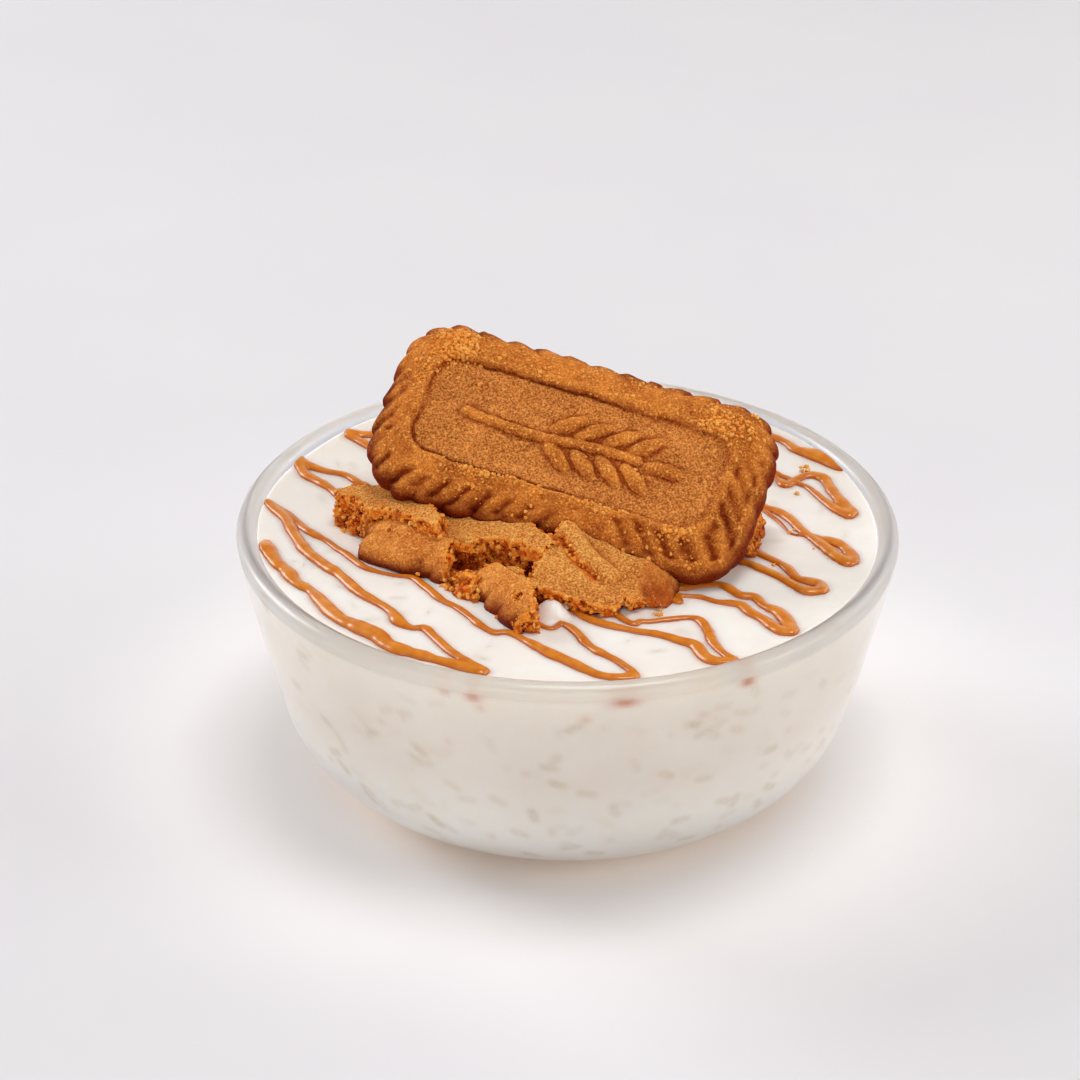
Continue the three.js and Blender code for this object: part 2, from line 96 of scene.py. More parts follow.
# They are posed the way the CAD model poses them: "held" is the spot of a biscuit's top that lies at "at",
# whose height counts from the pudding's level, and "turn" is the heading, the tip and the roll in degrees.
# "outline" is where a piece broke, and "holes" are hollows in a broken side, each a middle, a radius along it
# and a radius across it. "ribs" are rounded bars added to a piece and "cuts" are grooves in it, each from a
# start to an end, with a radius. "flare" widens a broken side below its top, and "crumble" is its roughness.
# "ridge" and "dents" are how much is left of the panel's ridge and of the edge's dents, and "torn" is how
# much of the crust is gone. "soaked" is a wet spot, its middle and its radius. Only the whole biscuit is
# "marked": it has the relief.
WHOLE = dict(name="biscuit", held=(0, 0), at=(0.15, -2.55, 17.9), turn=(-24.3, 36, 9.7), ridge=1, marked=1)
PIECES = [
    dict(
        name="piece_square", held=(20, 0), at=(6, -20, 5.5), turn=(-14, 18.5, 12),
        outline=[
            (9, -5.5), (10, -9), (15, -9.5), (22, -9.8), (27, -7.6), (29.5, -5.5),
            (34, -4), (34, 4), (22, 5), (11.8, 5.2), (10.6, -1.5),
        ],
        holes=[((25.3, -8.2, -2), 0.9, 2.2)],
        ribs=[((12.8, 4.6, -0.9), (17.2, -0.2, -0.8), 1.8), ((17.2, -0.2, -0.8), (21.4, -2.4, -1.1), 1.7)],
        cuts=[((12, 2.4, 0), (15.4, -1.6, 0), 0.55), ((15.4, -1.6, 0), (19.6, -4.1, -0.1), 0.5)],
        soaked=(30.6, -3.4, 3.2), crumble=0.95, ridge=0.3, dents=0.45,
    ),
    dict(
        name="piece_middle", held=(-18, -10), at=(-22, -12.7, 5.4), turn=(-32, 16, -3),
        outline=[
            (-35, -11), (-35, -18), (-20, -18), (-11.6, -18), (-13.8, -13.5), (-14.4, -9.8), (-9.6, -6.6),
            (-4.5, -6.2), (1.2, -7.4), (1.8, -3.6), (-0.4, -1.5), (-8.4, 0.4), (-14.6, 0.4), (-20.4, -4.4),
        ],
        holes=[((-12.3, -10.1, -4), 4.2, 2), ((-5.5, -8.6, -4.6), 2.4, 1.3), ((0.2, -6.8, -5.2), 3, 2.4)],
        ribs=[((-27.6, -13.6, -3.6), (-21, -13.2, -3), 3.2), ((-27, -8.8, -1.1), (-18, -8, -0.7), 0.9)],
        flare=0.3, crumble=1, ridge=0.7, dents=0.2,
    ),
    dict(
        name="piece_front", held=(-8, -12), at=(-9.7, -26.4, 4.6), turn=(-58, 10, -6),
        outline=[
            (-17, -18), (-1, -18), (1, -12.6), (-3, -9.8),
            (-6.9, -8.4), (-10.5, -7.6), (-14.6, -9.4), (-17, -12.5),
        ],
        holes=[((-3.6, -12.4, -0.9), 0.8, 0.8)],
        crumble=0.8, ridge=0.5, dents=0.25,
    ),
    dict(
        name="piece_left", held=(-12, 0), at=(-29.5, 0, 7.6), turn=(-34, 10, -8),
        outline=[
            (-20.4, -5.4), (-18.8, -4.6), (-11.9, -5.8), (-8.2, -5.7), (-5.4, -6), (-1.4, -6.8), (3.4, -7.4),
            (2, -4.4), (-3.6, 0.4), (-9.2, 1.8), (-15.2, 1.2), (-19.7, -0.6), (-21.3, -2.8),
        ],
        holes=[((-10.4, -7.4, -4.3), 4.2, 2.4), ((-15.8, -7, -3.7), 1.7, 1.4), ((-3.4, -8, -4), 3.2, 2)],
        flare=0.2, crumble=1, ridge=0,
    ),
    dict(
        name="piece_small", held=(-8, -14), at=(-16.2, -23.2, 2.9), turn=(-40, 6, 0),
        outline=[(-12.4, -14.6), (-11, -18), (-6, -18), (-5.8, -11.8), (-9.6, -11.2)],
        torn=1, crumble=1.1, ridge=0.5, dents=0.3,
    ),
    dict(
        name="piece_right", held=(26, 3), at=(25.6, -2.2, 4.2), turn=(-10, 3, 5),
        outline=[(14, -3), (20, -6), (28, -3.5), (34.6, -2), (34.6, 9), (24, 11), (15, 7)],
        torn=0.8, crumble=0.6, ridge=1,
    ),
    dict(
        name="piece_under", held=(-2, -4), at=(-8, -1.5, 5.2), turn=(24, 4, 3),
        outline=[(-14, -9), (-6, -10), (3, -8.5), (10, -6), (9, 1), (3, 4.5), (-7, 3), (-13, 1)],
        crumble=0.8, ridge=0,
    ),
    dict(
        name="piece_rear", held=(-22, 0), at=(-8, 19.5, 5.2), turn=(172, 66, 0),
        outline=[
            (-34, -11), (-34, 18), (-9, 18), (-10.5, 9),
            (-8, 2), (-10.5, -5), (-18, -9.5), (-27, -9),
        ],
        crumble=0.8, ridge=1,
    ),
]

# Where crumbs fell on the pudding: the middle in plan, how many, how far they spread, and their radius.
FALLEN = [
    (15.2, -27.6, 7, 0.5, 0.4), (-37.5, -0.6, 5, 0.7, 0.35), (40.2, 22, 5, 0.5, 0.5),
    (37.2, 0.6, 2, 0.4, 0.4), (40.4, -4.8, 2, 0.5, 0.35), (-19.5, -18.6, 16, 0.8, 0.45),
    (34.2, -11, 2, 0.3, 0.4), (-6, -33.2, 5, 1.0, 0.35), (38.9, 13.4, 3, 0.6, 0.4),
]
# Crumbs that cover a surface. Their radius is the smallest, and up to "range" more: the higher "power" is,
# the rarer the large ones are. "lift" is how far a crumb's middle stands out, as a share of its radius.
SUGAR = dict(count=1600, smallest=0.12, range=0.27, power=2, lift=0.35, tones=(0.55, 1))
ROUGH = dict(count=9000, smallest=0.11, range=0.34, power=3, lift=0.2, tones=(0, 1))
ROCK_SHAPES = 9  # that the crumbs of a piece are picked from

# Where caramel ran down against the glass at the front: x, z, width and strength.
CARAMEL_STAINS = [
    (-18.3, 40.7, 0.8, 0.4), (-14, 40.5, 1.3, 0.7), (-12.9, 38.6, 0.7, 0.3), (9, 40.6, 2.1, 0.8),
    (27.7, 40.3, 1.1, 0.9), (3.1, 37.4, 0.9, 0.3), (21, 35.8, 1.0, 0.2),
]
STAIN_HEIGHT, SPECK_WIDTH, SPECKS = 0.8, 0.6, 22  # the specks are small stains at seeded places

# The poured caramel in plan, front to back: each stroke's points, with the width that it has there. Each
# stroke starts about where the last one ended, and the parts under the biscuit are plain.
STROKES = [
    [
        (-49.5, -6.8, 1.6), (-49.3, -8.9, 2.3), (-47.6, -12.9, 2), (-45.6, -15.7, 2.1), (-43.8, -19.3, 1.6),
        (-41.3, -21.8, 1.6), (-38.8, -26.4, 2.2), (-36.6, -30.4, 2.2), (-33.1, -33.6, 2.5),
        (-29.9, -36.4, 2.6), (-27.4, -39.8, 2.4), (-23.4, -42.1, 1.9), (-19.9, -43.9, 1.8),
        (-15.6, -45.9, 1.8), (-13.2, -47.1, 1.7),
    ],
    [
        (-12.8, -46.7, 1.6), (-15.6, -43.9, 1.3), (-18.4, -40.7, 1.4), (-20.6, -37.1, 1.4),
        (-22.4, -34, 1.5), (-24.5, -33.8, 1.1), (-26.6, -31.8, 1.8), (-28.1, -28.6, 1.4),
        (-30.6, -25.4, 1.4), (-33.8, -21.8, 1.6), (-36.6, -17.1, 1.7), (-39.9, -12.9, 1.7),
        (-43.1, -8.6, 1.8), (-45.2, -3.6, 1.7), (-47, 1.4, 1.6), (-48.4, 3.9, 1.7), (-50.2, 6.8, 1.5),
    ],
    [
        (-50.3, 7.2, 1.4), (-47.7, 4.9, 1.1), (-45.2, 1.4, 1.1), (-43.1, -2.1, 1.5), (-39.9, -5, 1.1),
        (-37.7, -7.9, 1.1), (-35.2, -11.1, 1.3), (-32.4, -14.6, 1.1), (-28.4, -16.4, 0.9),
        (-25.2, -17.1, 1.1), (-22.7, -20.7, 1.4), (-20.2, -24.6, 1.2), (-17, -27.9, 1.2),
        (-14.1, -32.1, 1.2), (-11.6, -34.8, 1.2), (-9.1, -34.7, 1.1), (-5.6, -37.9, 1.5), (-2, -41.2, 1.9),
        (2.9, -45.3, 1.7), (5.4, -47.2, 1.6), (7.9, -48, 1.7), (10.4, -47.6, 2),
    ],
    [
        (10.6, -47, 1.7), (10, -45.3, 1.4), (7.9, -42.8, 1.3), (5.4, -40.3, 1.3), (3.2, -37.4, 1.3),
        (1.4, -33.9, 1.3), (-0.6, -31.6, 1.1), (-2.7, -32.9, 0.9), (-7, -29, 1), (-14, -20, 1.2),
        (-28, -4, 1.2), (-38, 10, 1.3), (-40.2, 12.9, 1.4), (-42.7, 15.7, 1.5), (-44.9, 18.2, 1.6),
        (-46.2, 21.6, 1.9),
    ],
    [
        (-46.4, 22.7, 2), (-44.1, 21.1, 1.6), (-41.3, 19.4, 1.2), (-38.1, 18.2, 1.2), (-35.2, 15.4, 1.2),
        (-32.4, 12.9, 1), (-15, -7, 1.2), (0, -25.3, 1.2), (3.2, -29.2, 1.4), (6.4, -31.4, 1.4),
        (10, -32.8, 1.2), (13.6, -33.9, 1.4), (17.1, -35.6, 1.4), (20.2, -37.6, 1.8), (21.4, -40.3, 1.9),
        (23.2, -42.4, 1.9), (25.6, -42.9, 1.7),
    ],
    [
        (26.2, -42.2, 1.5), (24.6, -39.6, 1.3), (23.2, -36.7, 1.5), (22.5, -33.1, 1.5), (21.4, -29.9, 1.3),
        (19.3, -28.9, 1.1), (15.7, -29.4, 1.1), (12.1, -29.9, 0.9), (8, -28, 1.2), (-12, 2, 1.2),
        (-33, 27, 1.4), (-38, 32.6, 1.8),
    ],
    [
        (-38, 33, 1.8), (-32, 32, 1.5), (-24, 24, 1.3), (14, -20, 1.2), (18.2, -21.7, 0.9),
        (21.4, -22.1, 1.1), (24.3, -23.9, 1.1), (27.9, -24.9, 1.4), (29.3, -27.1, 1.6), (31.4, -29.4, 1.6),
        (32.9, -31.7, 1.9), (34.3, -33.4, 1.9), (35.6, -33.6, 2.1),
    ],
    [
        (35.9, -33, 2.1), (35.2, -30.3, 2.1), (33.9, -27.2, 2), (31.8, -25.1, 1.6), (30.4, -22.6, 1.6),
        (28.2, -21.9, 1.5), (27.1, -20.6, 1.4), (25, -18.3, 1.3), (22.1, -18.5, 1.1), (19.6, -19.2, 1.5),
        (17.9, -19.2, 1.4), (14, -17, 1.2), (-8, 14, 1.2), (-28, 41, 1.4),
    ],
    [
        (-28, 41, 1.4), (0, 16, 1.2), (26, -8.5, 1.2), (28.9, -10.3, 1.2), (31.4, -12.4, 1.5),
        (34.3, -14.9, 1.5), (37.1, -18.3, 1.7), (38.9, -20.2, 2), (41.1, -20, 1.9),
    ],
    [
        (41.3, -19.4, 1.9), (41, -17.6, 1.9), (39.3, -16.6, 1.9), (37.5, -15.3, 1.4), (35.7, -11.7, 1.5),
        (33.2, -8.9, 1.3), (31.1, -6.7, 1.3), (30, -5.3, 1.1), (8, 20, 1.2), (-14, 47, 1.4),
    ],
    [
        (-14, 47, 1.4), (12, 24, 1.2), (31, 11, 1.2), (33.2, 9.4, 1.2), (35.7, 7.2, 1.5), (37.5, 4.7, 1.5),
        (38.9, 1.5, 1.4), (40.7, -1.7, 1.5), (42.9, -4.9, 1.8), (44.6, -8.1, 1.9), (46.2, -9.8, 1.8),
    ],
    [
        (46.9, -9.3, 1.8), (47, -7.4, 1.8), (46.1, -5.1, 1.8), (44.6, -2.9, 1.7), (42.1, -1.4, 1.1),
        (40, -0.3, 0.9), (37.1, 0.4, 0.6), (33, 8, 0.9), (17, 27, 1.2), (0, 49, 1.4),
    ],
    [
        (0, 49, 1.4), (18, 34, 1.2), (33, 22, 1.1), (35.4, 19.2, 1), (37, 16.8, 1.7), (38.9, 18.6, 1.3),
        (41.4, 20, 1.6), (43.6, 18.8, 1.8), (44.6, 15.4, 1.7), (46.1, 11, 1.8), (47.5, 8.1, 1.8),
        (47.8, 7, 1.9),
    ],
    [
        (47.2, 6.4, 1.9), (45.4, 8.1, 1.7), (43.6, 10.8, 1.5), (41.8, 14, 1.1), (40.5, 16.2, 0.9),
        (38.8, 17.8, 1), (30, 27, 1.1), (16, 46.5, 1.4),
    ],
    [
        (16, 46.5, 1.4), (30, 38.5, 1.2), (37.1, 32.2, 1.3), (39.3, 29, 1.7), (42.1, 27, 2.3),
        (44.3, 24.7, 1.8), (46.1, 22.2, 1.3), (47.8, 20.9, 0.8),
    ],
]

# ---------------------------------------------------------------- noise and fields

LATTICE = np.random.default_rng(11).random((32, 32, 32))


def noise(points, size, seed=0):
    """Smooth noise from -1 to 1, with bumps about size wide, at points."""
    scaled = np.asarray(points) / size + seed * 17.31
    cell = np.floor(scaled).astype(int)
    part = scaled - cell
    part = part * part * (3 - 2 * part)
    total = np.zeros(len(scaled))
    for corner in np.ndindex(2, 2, 2):
        weight = np.prod(np.where(corner, part, 1 - part), axis=1)
        total += weight * LATTICE[tuple(((cell + corner) % 32).T)]
    return 2 * total - 1


def plan_noise(x, y, size, seed=0):
    """Smooth noise from -1 to 1 at places in plan, whatever the shape of their array."""
    return noise(np.stack([x, y, np.full_like(x, seed * 3.7)], axis=-1).reshape(-1, 3), size).reshape(x.shape)


def smoothstep(low, high, value):
    """0 at low and 1 at high, which may be the smaller one, with a smooth slope between them."""
    share = np.clip((value - low) / (high - low), 0, 1)
    return share * share * (3 - 2 * share)


def smooth_max(a, b, radius):
    """The larger of two fields, with their edge rounded."""
    share = np.clip(0.5 + 0.5 * (a - b) / radius, 0, 1)
    return b + (a - b) * share + radius * share * (1 - share)


def smooth_min(a, b, radius):
    """The smaller of two fields, with their edge rounded."""
    return -smooth_max(-a, -b, radius)


def grid(low, high, step):
    """The points of a grid, and its shape."""
    axes = [np.arange(a, b + step, step) for a, b in zip(low, high)]
    points = np.stack(np.meshgrid(*axes, indexing="ij"), axis=-1)
    return points.reshape(-1, 3), points.shape[:3]


def surface_net(values, low, step):
    """The surface where values, on a grid, pass zero: one vertex in each cell that it crosses, and quads."""
    strides = np.array([values.shape[1] * values.shape[2], values.shape[2], 1])
    places, numbers, quads = [], [], []
    for axis in range(3):
        near = np.moveaxis(values, axis, 0)[:-1]
        far = np.moveaxis(values, axis, 0)[1:]
        found = np.nonzero((near < 0) != (far < 0))
        before, after = near[found], far[found]
        edges = np.insert(np.stack(found[1:], axis=1), axis, found[0], axis=1)
        crossing = edges.astype(float)
        crossing[:, axis] += before / (before - after)
        side, other = (axis + 1) % 3, (axis + 2) % 3
        around = []
        for back_side, back_other in ((0, 0), (1, 0), (1, 1), (0, 1)):
            around.append(edges @ strides - back_side * strides[side] - back_other * strides[other])
            places.append(crossing)
            numbers.append(around[-1])
        quad = np.stack(around, axis=1)
        quads.append(np.where((before < 0)[:, None], quad, quad[:, ::-1]))
    used, index = np.unique(np.concatenate(numbers), return_inverse=True)
    places = np.concatenate(places)
    counts = np.bincount(index)
    middles = np.stack([np.bincount(index, places[:, i]) / counts for i in range(3)], axis=1)
    return np.array(low) + step * middles, np.searchsorted(used, np.concatenate(quads))


# ---------------------------------------------------------------- meshes


def new_object(name, data):
    """An object with this data, in the scene."""
    made = bpy.data.objects.new(name, data)
    bpy.context.scene.collection.objects.link(made)
    return made


def add_piece(name, vertices, faces, material, slot, **attributes):
    """A smooth mesh piece that rides on the one body. Each attribute holds a number for each vertex."""
    mesh = bpy.data.meshes.new(name)
    mesh.from_pydata(np.asarray(vertices) * MM, [], faces)
    mesh.shade_smooth()
    for key, values in attributes.items():
        made = mesh.attributes.new(key, "FLOAT", "POINT")
        made.data.foreach_set("value", np.asarray(values, np.float32))
    mesh.materials.append(material)
    piece = new_object(name, mesh)
    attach(piece, "root")
    return piece


def ring_faces(rings, segments):
    """Quads between rings of vertices, with a fan to a single vertex before the first and after the last.

    The vertices are the first single one, the rings one after another, and the last single one. The rings
    run anticlockwise seen from the side of the first single vertex.
    """
    j = np.arange(segments)
    ahead = (j + 1) % segments
    first = [(0, 1 + a, 1 + b) for a, b in zip(j, ahead)]
    start = 1 + (rings - 1) * segments
    last = [(start + segments, start + b, start + a) for a, b in zip(j, ahead)]
    quads = []
    for i in range(rings - 1):
        a = 1 + i * segments
        b = a + segments
        quads += zip(a + j, b + j, b + ahead, a + ahead)
    return first + quads + last


def circle(segments):
    """Points round the unit circle, in plan."""
    angles = np.arange(segments) * 2 * math.pi / segments
    return np.stack([np.cos(angles), np.sin(angles)], axis=1)


def turned_rings(section, segments):
    """A ring of vertices for each radius and height of a section."""
    unit = circle(segments)
    return np.concatenate([np.column_stack([radius * unit, np.full(segments, z)]) for radius, z in section])


def lathe(section, segments):
    """Vertices and faces of a turned shape. The section runs from the axis on top, outwards and under."""
    top, *inner, bottom = section
    vertices = np.concatenate([[[0, 0, top[1]]], turned_rings(inner, segments), [[0, 0, bottom[1]]]])
    return vertices, ring_faces(len(inner), segments)


# ---------------------------------------------------------------- materials


def colour(code, alpha=1.0):
    """A Blender colour from "#rrggbb"."""
    channels = [int(code[i : i + 2], 16) / 255 for i in (1, 3, 5)]
    linear = [c / 12.92 if c <= 0.04045 else ((c + 0.055) / 1.055) ** 2.4 for c in channels]
    return (*linear, alpha)


class Material:
    """A Principled material, built up node by node."""

    def __init__(self, name, **settings):
        self.made = bpy.data.materials.new(name)
        self.made.use_nodes = True
        self.tree = self.made.node_tree
        self.shader = self.tree.nodes["Principled BSDF"]
        self.output = self.tree.nodes["Material Output"]
        self.places = self.add("ShaderNodeTexCoord").outputs["Object"]
        self.set(**settings)

    def set(self, **settings):
        """Gives sockets of the shader, written like base_color, a value or a link."""
        for key, value in settings.items():
            self.put(self.shader, key.replace("_", " ").title().replace("Ior", "IOR"), value)
        return self.made

    def put(self, node, key, value):
        """Gives a node's socket a value, or a link to the socket that is the value."""
        if isinstance(value, bpy.types.NodeSocket):
            self.tree.links.new(value, node.inputs[key])
        else:
            node.inputs[key].default_value = value

    def add(self, kind, values=None, **settings):
        """A new node with these settings, and these values or links at its sockets."""
        node = self.tree.nodes.new(kind)
        for key, value in settings.items():
            setattr(node, key, value)
        for key, value in (values or {}).items():
            self.put(node, key, value)
        return node

    def noise(self, size, detail=2.0, roughness=0.5):
        """Noise from 0 to 1 with bumps about size millimetres wide."""
        values = {"Vector": self.places, "Scale": 1 / (size * MM), "Detail": detail, "Roughness": roughness}
        return self.add("ShaderNodeTexNoise", values).outputs["Fac"]

    def between(self, value, low, high):
        """0 where a length is low millimetres or less, and 1 where it is high millimetres or more."""
        values = {"Value": value, "From Min": low * MM, "From Max": high * MM}
        return self.add("ShaderNodeMapRange", values).outputs["Result"]

    def attribute(self, name):
        return self.add("ShaderNodeAttribute", attribute_name=name).outputs["Fac"]

    def ramp(self, value, *stops):
        """A value or colour along stops, each a place from 0 to 1 and a colour code or a number."""
        node = self.add("ShaderNodeValToRGB", {"Fac": value})
        elements = node.color_ramp.elements
        for _ in stops[2:]:
            elements.new(0.5)
        for element, (place, look) in zip(elements, stops):
            element.position = place
            element.color = colour(look) if isinstance(look, str) else (look, look, look, 1)
        return node.outputs["Color"]

    def tones(self, value, looks, start=0.0, end=1.0):
        """A value along colour codes or numbers, spread evenly from start to end."""
        return self.ramp(value, *zip(np.linspace(start, end, len(looks)), looks))

    def mottled(self, looks, size, detail=2.0):
        """Soft patches between two colours, about size millimetres wide."""
        return self.tones(self.noise(size, detail), looks, 0.3, 0.7)

    def times(self, first, second):
        """A colour darkened by another."""
        return self.mix(1.0, first, second, "MULTIPLY")

    def mix(self, share, first, second, blend="MIX"):
        node = self.add("ShaderNodeMix", data_type="RGBA", blend_type=blend)
        for key, value in ((0, share), (6, first), (7, second)):
            self.put(node, key, value)
        return node.outputs[2]

    def bump(self, height, distance, strength=1.0, below=None):
        values = {"Height": height, "Distance": distance * MM, "Strength": strength}
        node = self.add("ShaderNodeBump", values)
        if below:
            self.put(node, "Normal", below)
        return node.outputs["Normal"]


def glass_material():
    """Clear glass that lamps shine through, so that what it holds isn't dark.

    Its thick rim is hazier, and greyer with painted shade and painted reflection of dark surroundings, most
    at the bowl's left and right.
    """
    glass = Material("clear_glass", ior=GLASS_IOR, transmission_weight=1.0)
    place = glass.add("ShaderNodeSeparateXYZ", {0: glass.places}).outputs
    rim = glass.between(place["Z"], LEVEL - 1.4, LEVEL - 0.4)
    sideways = glass.add("ShaderNodeMath", {0: place["X"]}, operation="ABSOLUTE").outputs[0]
    # Painted shade and reflection: the rim is painted grey, most at the bowl's left and right.
    painted_rim_shade = glass.tones(glass.between(sideways, 22, 50), ("#e9e6e4", "#cacfd9"))
    glass.set(
        base_color=glass.mix(rim, glass.mottled(("#fafbfb", "#fdfdfd"), 30), painted_rim_shade),
        roughness=glass.tones(rim, (0.09, 0.28)),
        normal=glass.bump(glass.noise(22, 0), 0.1, 0.4),
    )
    clear = glass.add("ShaderNodeBsdfTransparent", {"Color": (0.97, 0.97, 0.97, 1)})
    lamp_rays = glass.add("ShaderNodeLightPath").outputs["Is Shadow Ray"]
    mixed = glass.add("ShaderNodeMixShader", {0: lamp_rays, 1: glass.shader.outputs[0], 2: clear.outputs[0]})
    glass.put(glass.output, "Surface", mixed.outputs[0])
    return glass.made


def pudding_material():
    """Milky pudding, with painted shade at the middle height of its side and towards the back of its top, and
    with grains of rice, caramel stains and a painted warm glow where the attributes have them.
    """
    pudding = Material(
        "milky_pudding", roughness=0.3, ior=1.42,
        subsurface_weight=0.6, subsurface_scale=0.0022, subsurface_radius=(1.0, 0.85, 0.7),
    )
    place = pudding.add("ShaderNodeSeparateXYZ", {0: pudding.places}).outputs
    # Painted shade: the top is darker towards the back.
    painted_shade_behind = pudding.tones(pudding.between(place["Y"], -10, 44), ("#ffffff", "#f0eeeb"))
    top = pudding.times(pudding.mottled(("#f2ece4", "#f9f6f0"), 9, 3), painted_shade_behind)
    # Painted shade: the side is darker at its middle height than at its bottom and top.
    painted_side_shade = pudding.ramp(
        pudding.between(place["Z"], 4, LEVEL),
        (0.0, "#ffffff"), (0.18, "#ffffff"), (0.5, "#f3efec"), (0.8, "#f3efeb"), (1.0, "#faf7f3"),
    )
    side = pudding.times(pudding.mottled(("#fdf8f0", "#fffcf7"), 9, 3), painted_side_shade)
    cream = pudding.mix(pudding.attribute("side"), top, side)
    grain = pudding.mottled(("#cdbd9e", "#dccfb4"), 1.6)
    fine = pudding.bump(pudding.noise(1.1, 2), 0.04, 0.3)
    # Real caramel stains at the glass, and a painted warm glow beside the strokes on the top.
    stained = pudding.mix(pudding.attribute("stain"), cream, colour("#c86612"))
    return pudding.set(
        base_color=pudding.mix(pudding.attribute("grain"), stained, grain),
        normal=pudding.bump(pudding.noise(4.5, 2), 0.2, 0.3, fine),
    )


def caramel_material():
    """Glossy caramel, with painted shade darkening its thin edges."""
    caramel = Material(
        "poured_caramel", roughness=0.3, coat_weight=0.3, coat_roughness=0.1,
        subsurface_weight=0.1, subsurface_scale=0.0006, subsurface_radius=(1.0, 0.4, 0.1),
    )
    # Painted shade: a stroke's thin edges are darker than its thick middle.
    painted_edge_shade = caramel.mottled(("#b45404", "#c2660a"), 2.4, 3)
    thick = caramel.mottled(("#cc6e0e", "#e08c24"), 1.8, 3)
    return caramel.set(
        base_color=caramel.mix(caramel.attribute("thick"), painted_edge_shade, thick),
        normal=caramel.bump(caramel.noise(1.5, 1), 0.1, 0.25),
    )


def biscuit_material(name, crust, panel, crumb, specks):
    """Baked dough: a smoother crust, a sandy panel, a crumbly broken side, and a darker wet foot.

    Painted shade darkens pores, dents, cracks and the lower side, where the darker, redder crust is also its
    own browning, and crests are painted lighter than the dough between them.
    """
    dough = Material(
        name, specular_ior_level=0.08,
        subsurface_weight=0.3, subsurface_scale=0.0011, subsurface_radius=(1.0, 0.35, 0.1),
    )
    patches = dough.noise(6, 4, 0.6)
    sand = dough.noise(0.34, 2, 0.6)
    grit = dough.noise(0.9, 2)
    proud, wet = dough.attribute("proud"), dough.attribute("wet")
    border = dough.mix(0.5, dough.tones(patches, crust, 0.3, 0.7), dough.tones(sand, crust, 0.36, 0.64))
    flat = dough.mix(0.7, dough.tones(patches, panel, 0.3, 0.7), dough.tones(sand, panel, 0.38, 0.62))
    # The broken side's crumb: its grit, with painted shade in pores and painted light on crests.
    inner = dough.mix(0.6, dough.tones(grit, crumb, 0.34, 0.66), dough.tones(proud, crumb, 0.2, 0.8))
    baked = dough.mix(dough.attribute("panel"), border, flat)
    speckled = dough.mix(dough.tones(dough.noise(0.5, 1), (0.0, 0.8), 0.6, 0.7), baked, colour(specks))
    # Painted shade in pores, lighter towards crests.
    painted_pore_shade = dough.ramp(proud, (0.1, "#bf8a66"), (0.45, "#f4e6dc"), (0.85, "#ffffff"))
    cut = dough.mix(dough.attribute("broken"), dough.times(speckled, painted_pore_shade), inner)
    # Painted shade in dents and cracks.
    painted_crease_shade = dough.tones(dough.attribute("deep"), ("#ffffff", "#ad7350"))
    # Darker, redder lower side: the crust's own browning and painted shade.
    browned_and_shaded = dough.tones(dough.attribute("side"), ("#ffffff", "#925238"))
    shaded = dough.times(dough.times(cut, painted_crease_shade), browned_and_shaded)
    return dough.set(
        base_color=dough.mix(wet, shaded, dough.times(shaded, colour("#d2a684"))),
        roughness=dough.tones(wet, (0.75, 0.3)),
        normal=dough.bump(grit, 0.2, 0.6, dough.bump(sand, 0.3)),
    )


def crumb_material():
    """Baked crumbs, each with a tone of its own."""
    crumb = Material("biscuit_crumbs", roughness=0.5, specular_ior_level=0.2)
    tone = crumb.ramp(
        crumb.attribute("tone"), (0.0, "#b4560c"), (0.4, "#ee8a28"), (0.8, "#ffb04a"), (1.0, "#ffc668")
    )
    return crumb.set(base_color=crumb.times(tone, crumb.mottled(("#d8c8b8", "#ffffff"), 0.3)))


# ---------------------------------------------------------------- bowl


def wall_section(inset, top, corner_steps, wall_steps):
    """The wall from the base to the height top, moved inwards by inset, as (radius, height) pairs."""
    reach = CORNER_RADIUS - inset
    angles = [CORNER_SWEEP * i / corner_steps for i in range(corner_steps + 1)]
    section = [(BASE_RADIUS + reach * math.sin(a), CORNER_RADIUS - reach * math.cos(a)) for a in angles]
    foot = np.array([
        BASE_RADIUS + CORNER_RADIUS * math.sin(CORNER_SWEEP),
        CORNER_RADIUS - CORNER_RADIUS * math.cos(CORNER_SWEEP),
    ])
    rise = np.array([RIM_RADIUS, BOWL_HEIGHT]) - foot
    outward = np.array([rise[1], -rise[0]]) / np.hypot(*rise)
    share = (top - foot[1] + inset * outward[1]) / rise[1]
    for t in np.arange(1, wall_steps + 1) * share / wall_steps:
        section.append(tuple(foot + rise * t + outward * (4 * WALL_BULGE * t * (1 - t) - inset)))
    return section


def inner_radius():
    """The bowl's inner radius at the pudding's level."""
    return wall_section(THICKNESS, LEVEL, 2, 2)[-1][0]


def make_bowl():
    """The bowl, turned from a section that runs over its floor, up its inside, over the lip and down."""
    outside = wall_section(0, BOWL_HEIGHT - LIP_RADIUS, CORNER_STEPS, WALL_STEPS)
    inside = wall_section(THICKNESS, BOWL_HEIGHT - LIP_RADIUS, CORNER_STEPS, WALL_STEPS)
    middle = (outside[-1][0] + inside[-1][0]) / 2
    reach = (outside[-1][0] - inside[-1][0]) / 2
    angles = np.radians(np.linspace(180, 0, LIP_STEPS + 1)[1:-1])
    lip = [(middle + reach * math.cos(a), inside[-1][1] + LIP_RADIUS * math.sin(a)) for a in angles]
    inner_floor = [(radius, THICKNESS) for radius in BASE_RINGS[::-1]]
    under = [(radius, 0.0) for radius in BASE_RINGS]
    section = [*inner_floor, *inside, *lip, *outside[::-1], *under]
    vertices, faces = lathe(section, BOWL_SEGMENTS)
    bowl = add_piece("glass_bowl", vertices, faces, glass_material(), "glass")
    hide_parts("bowl")


# ---------------------------------------------------------------- pudding


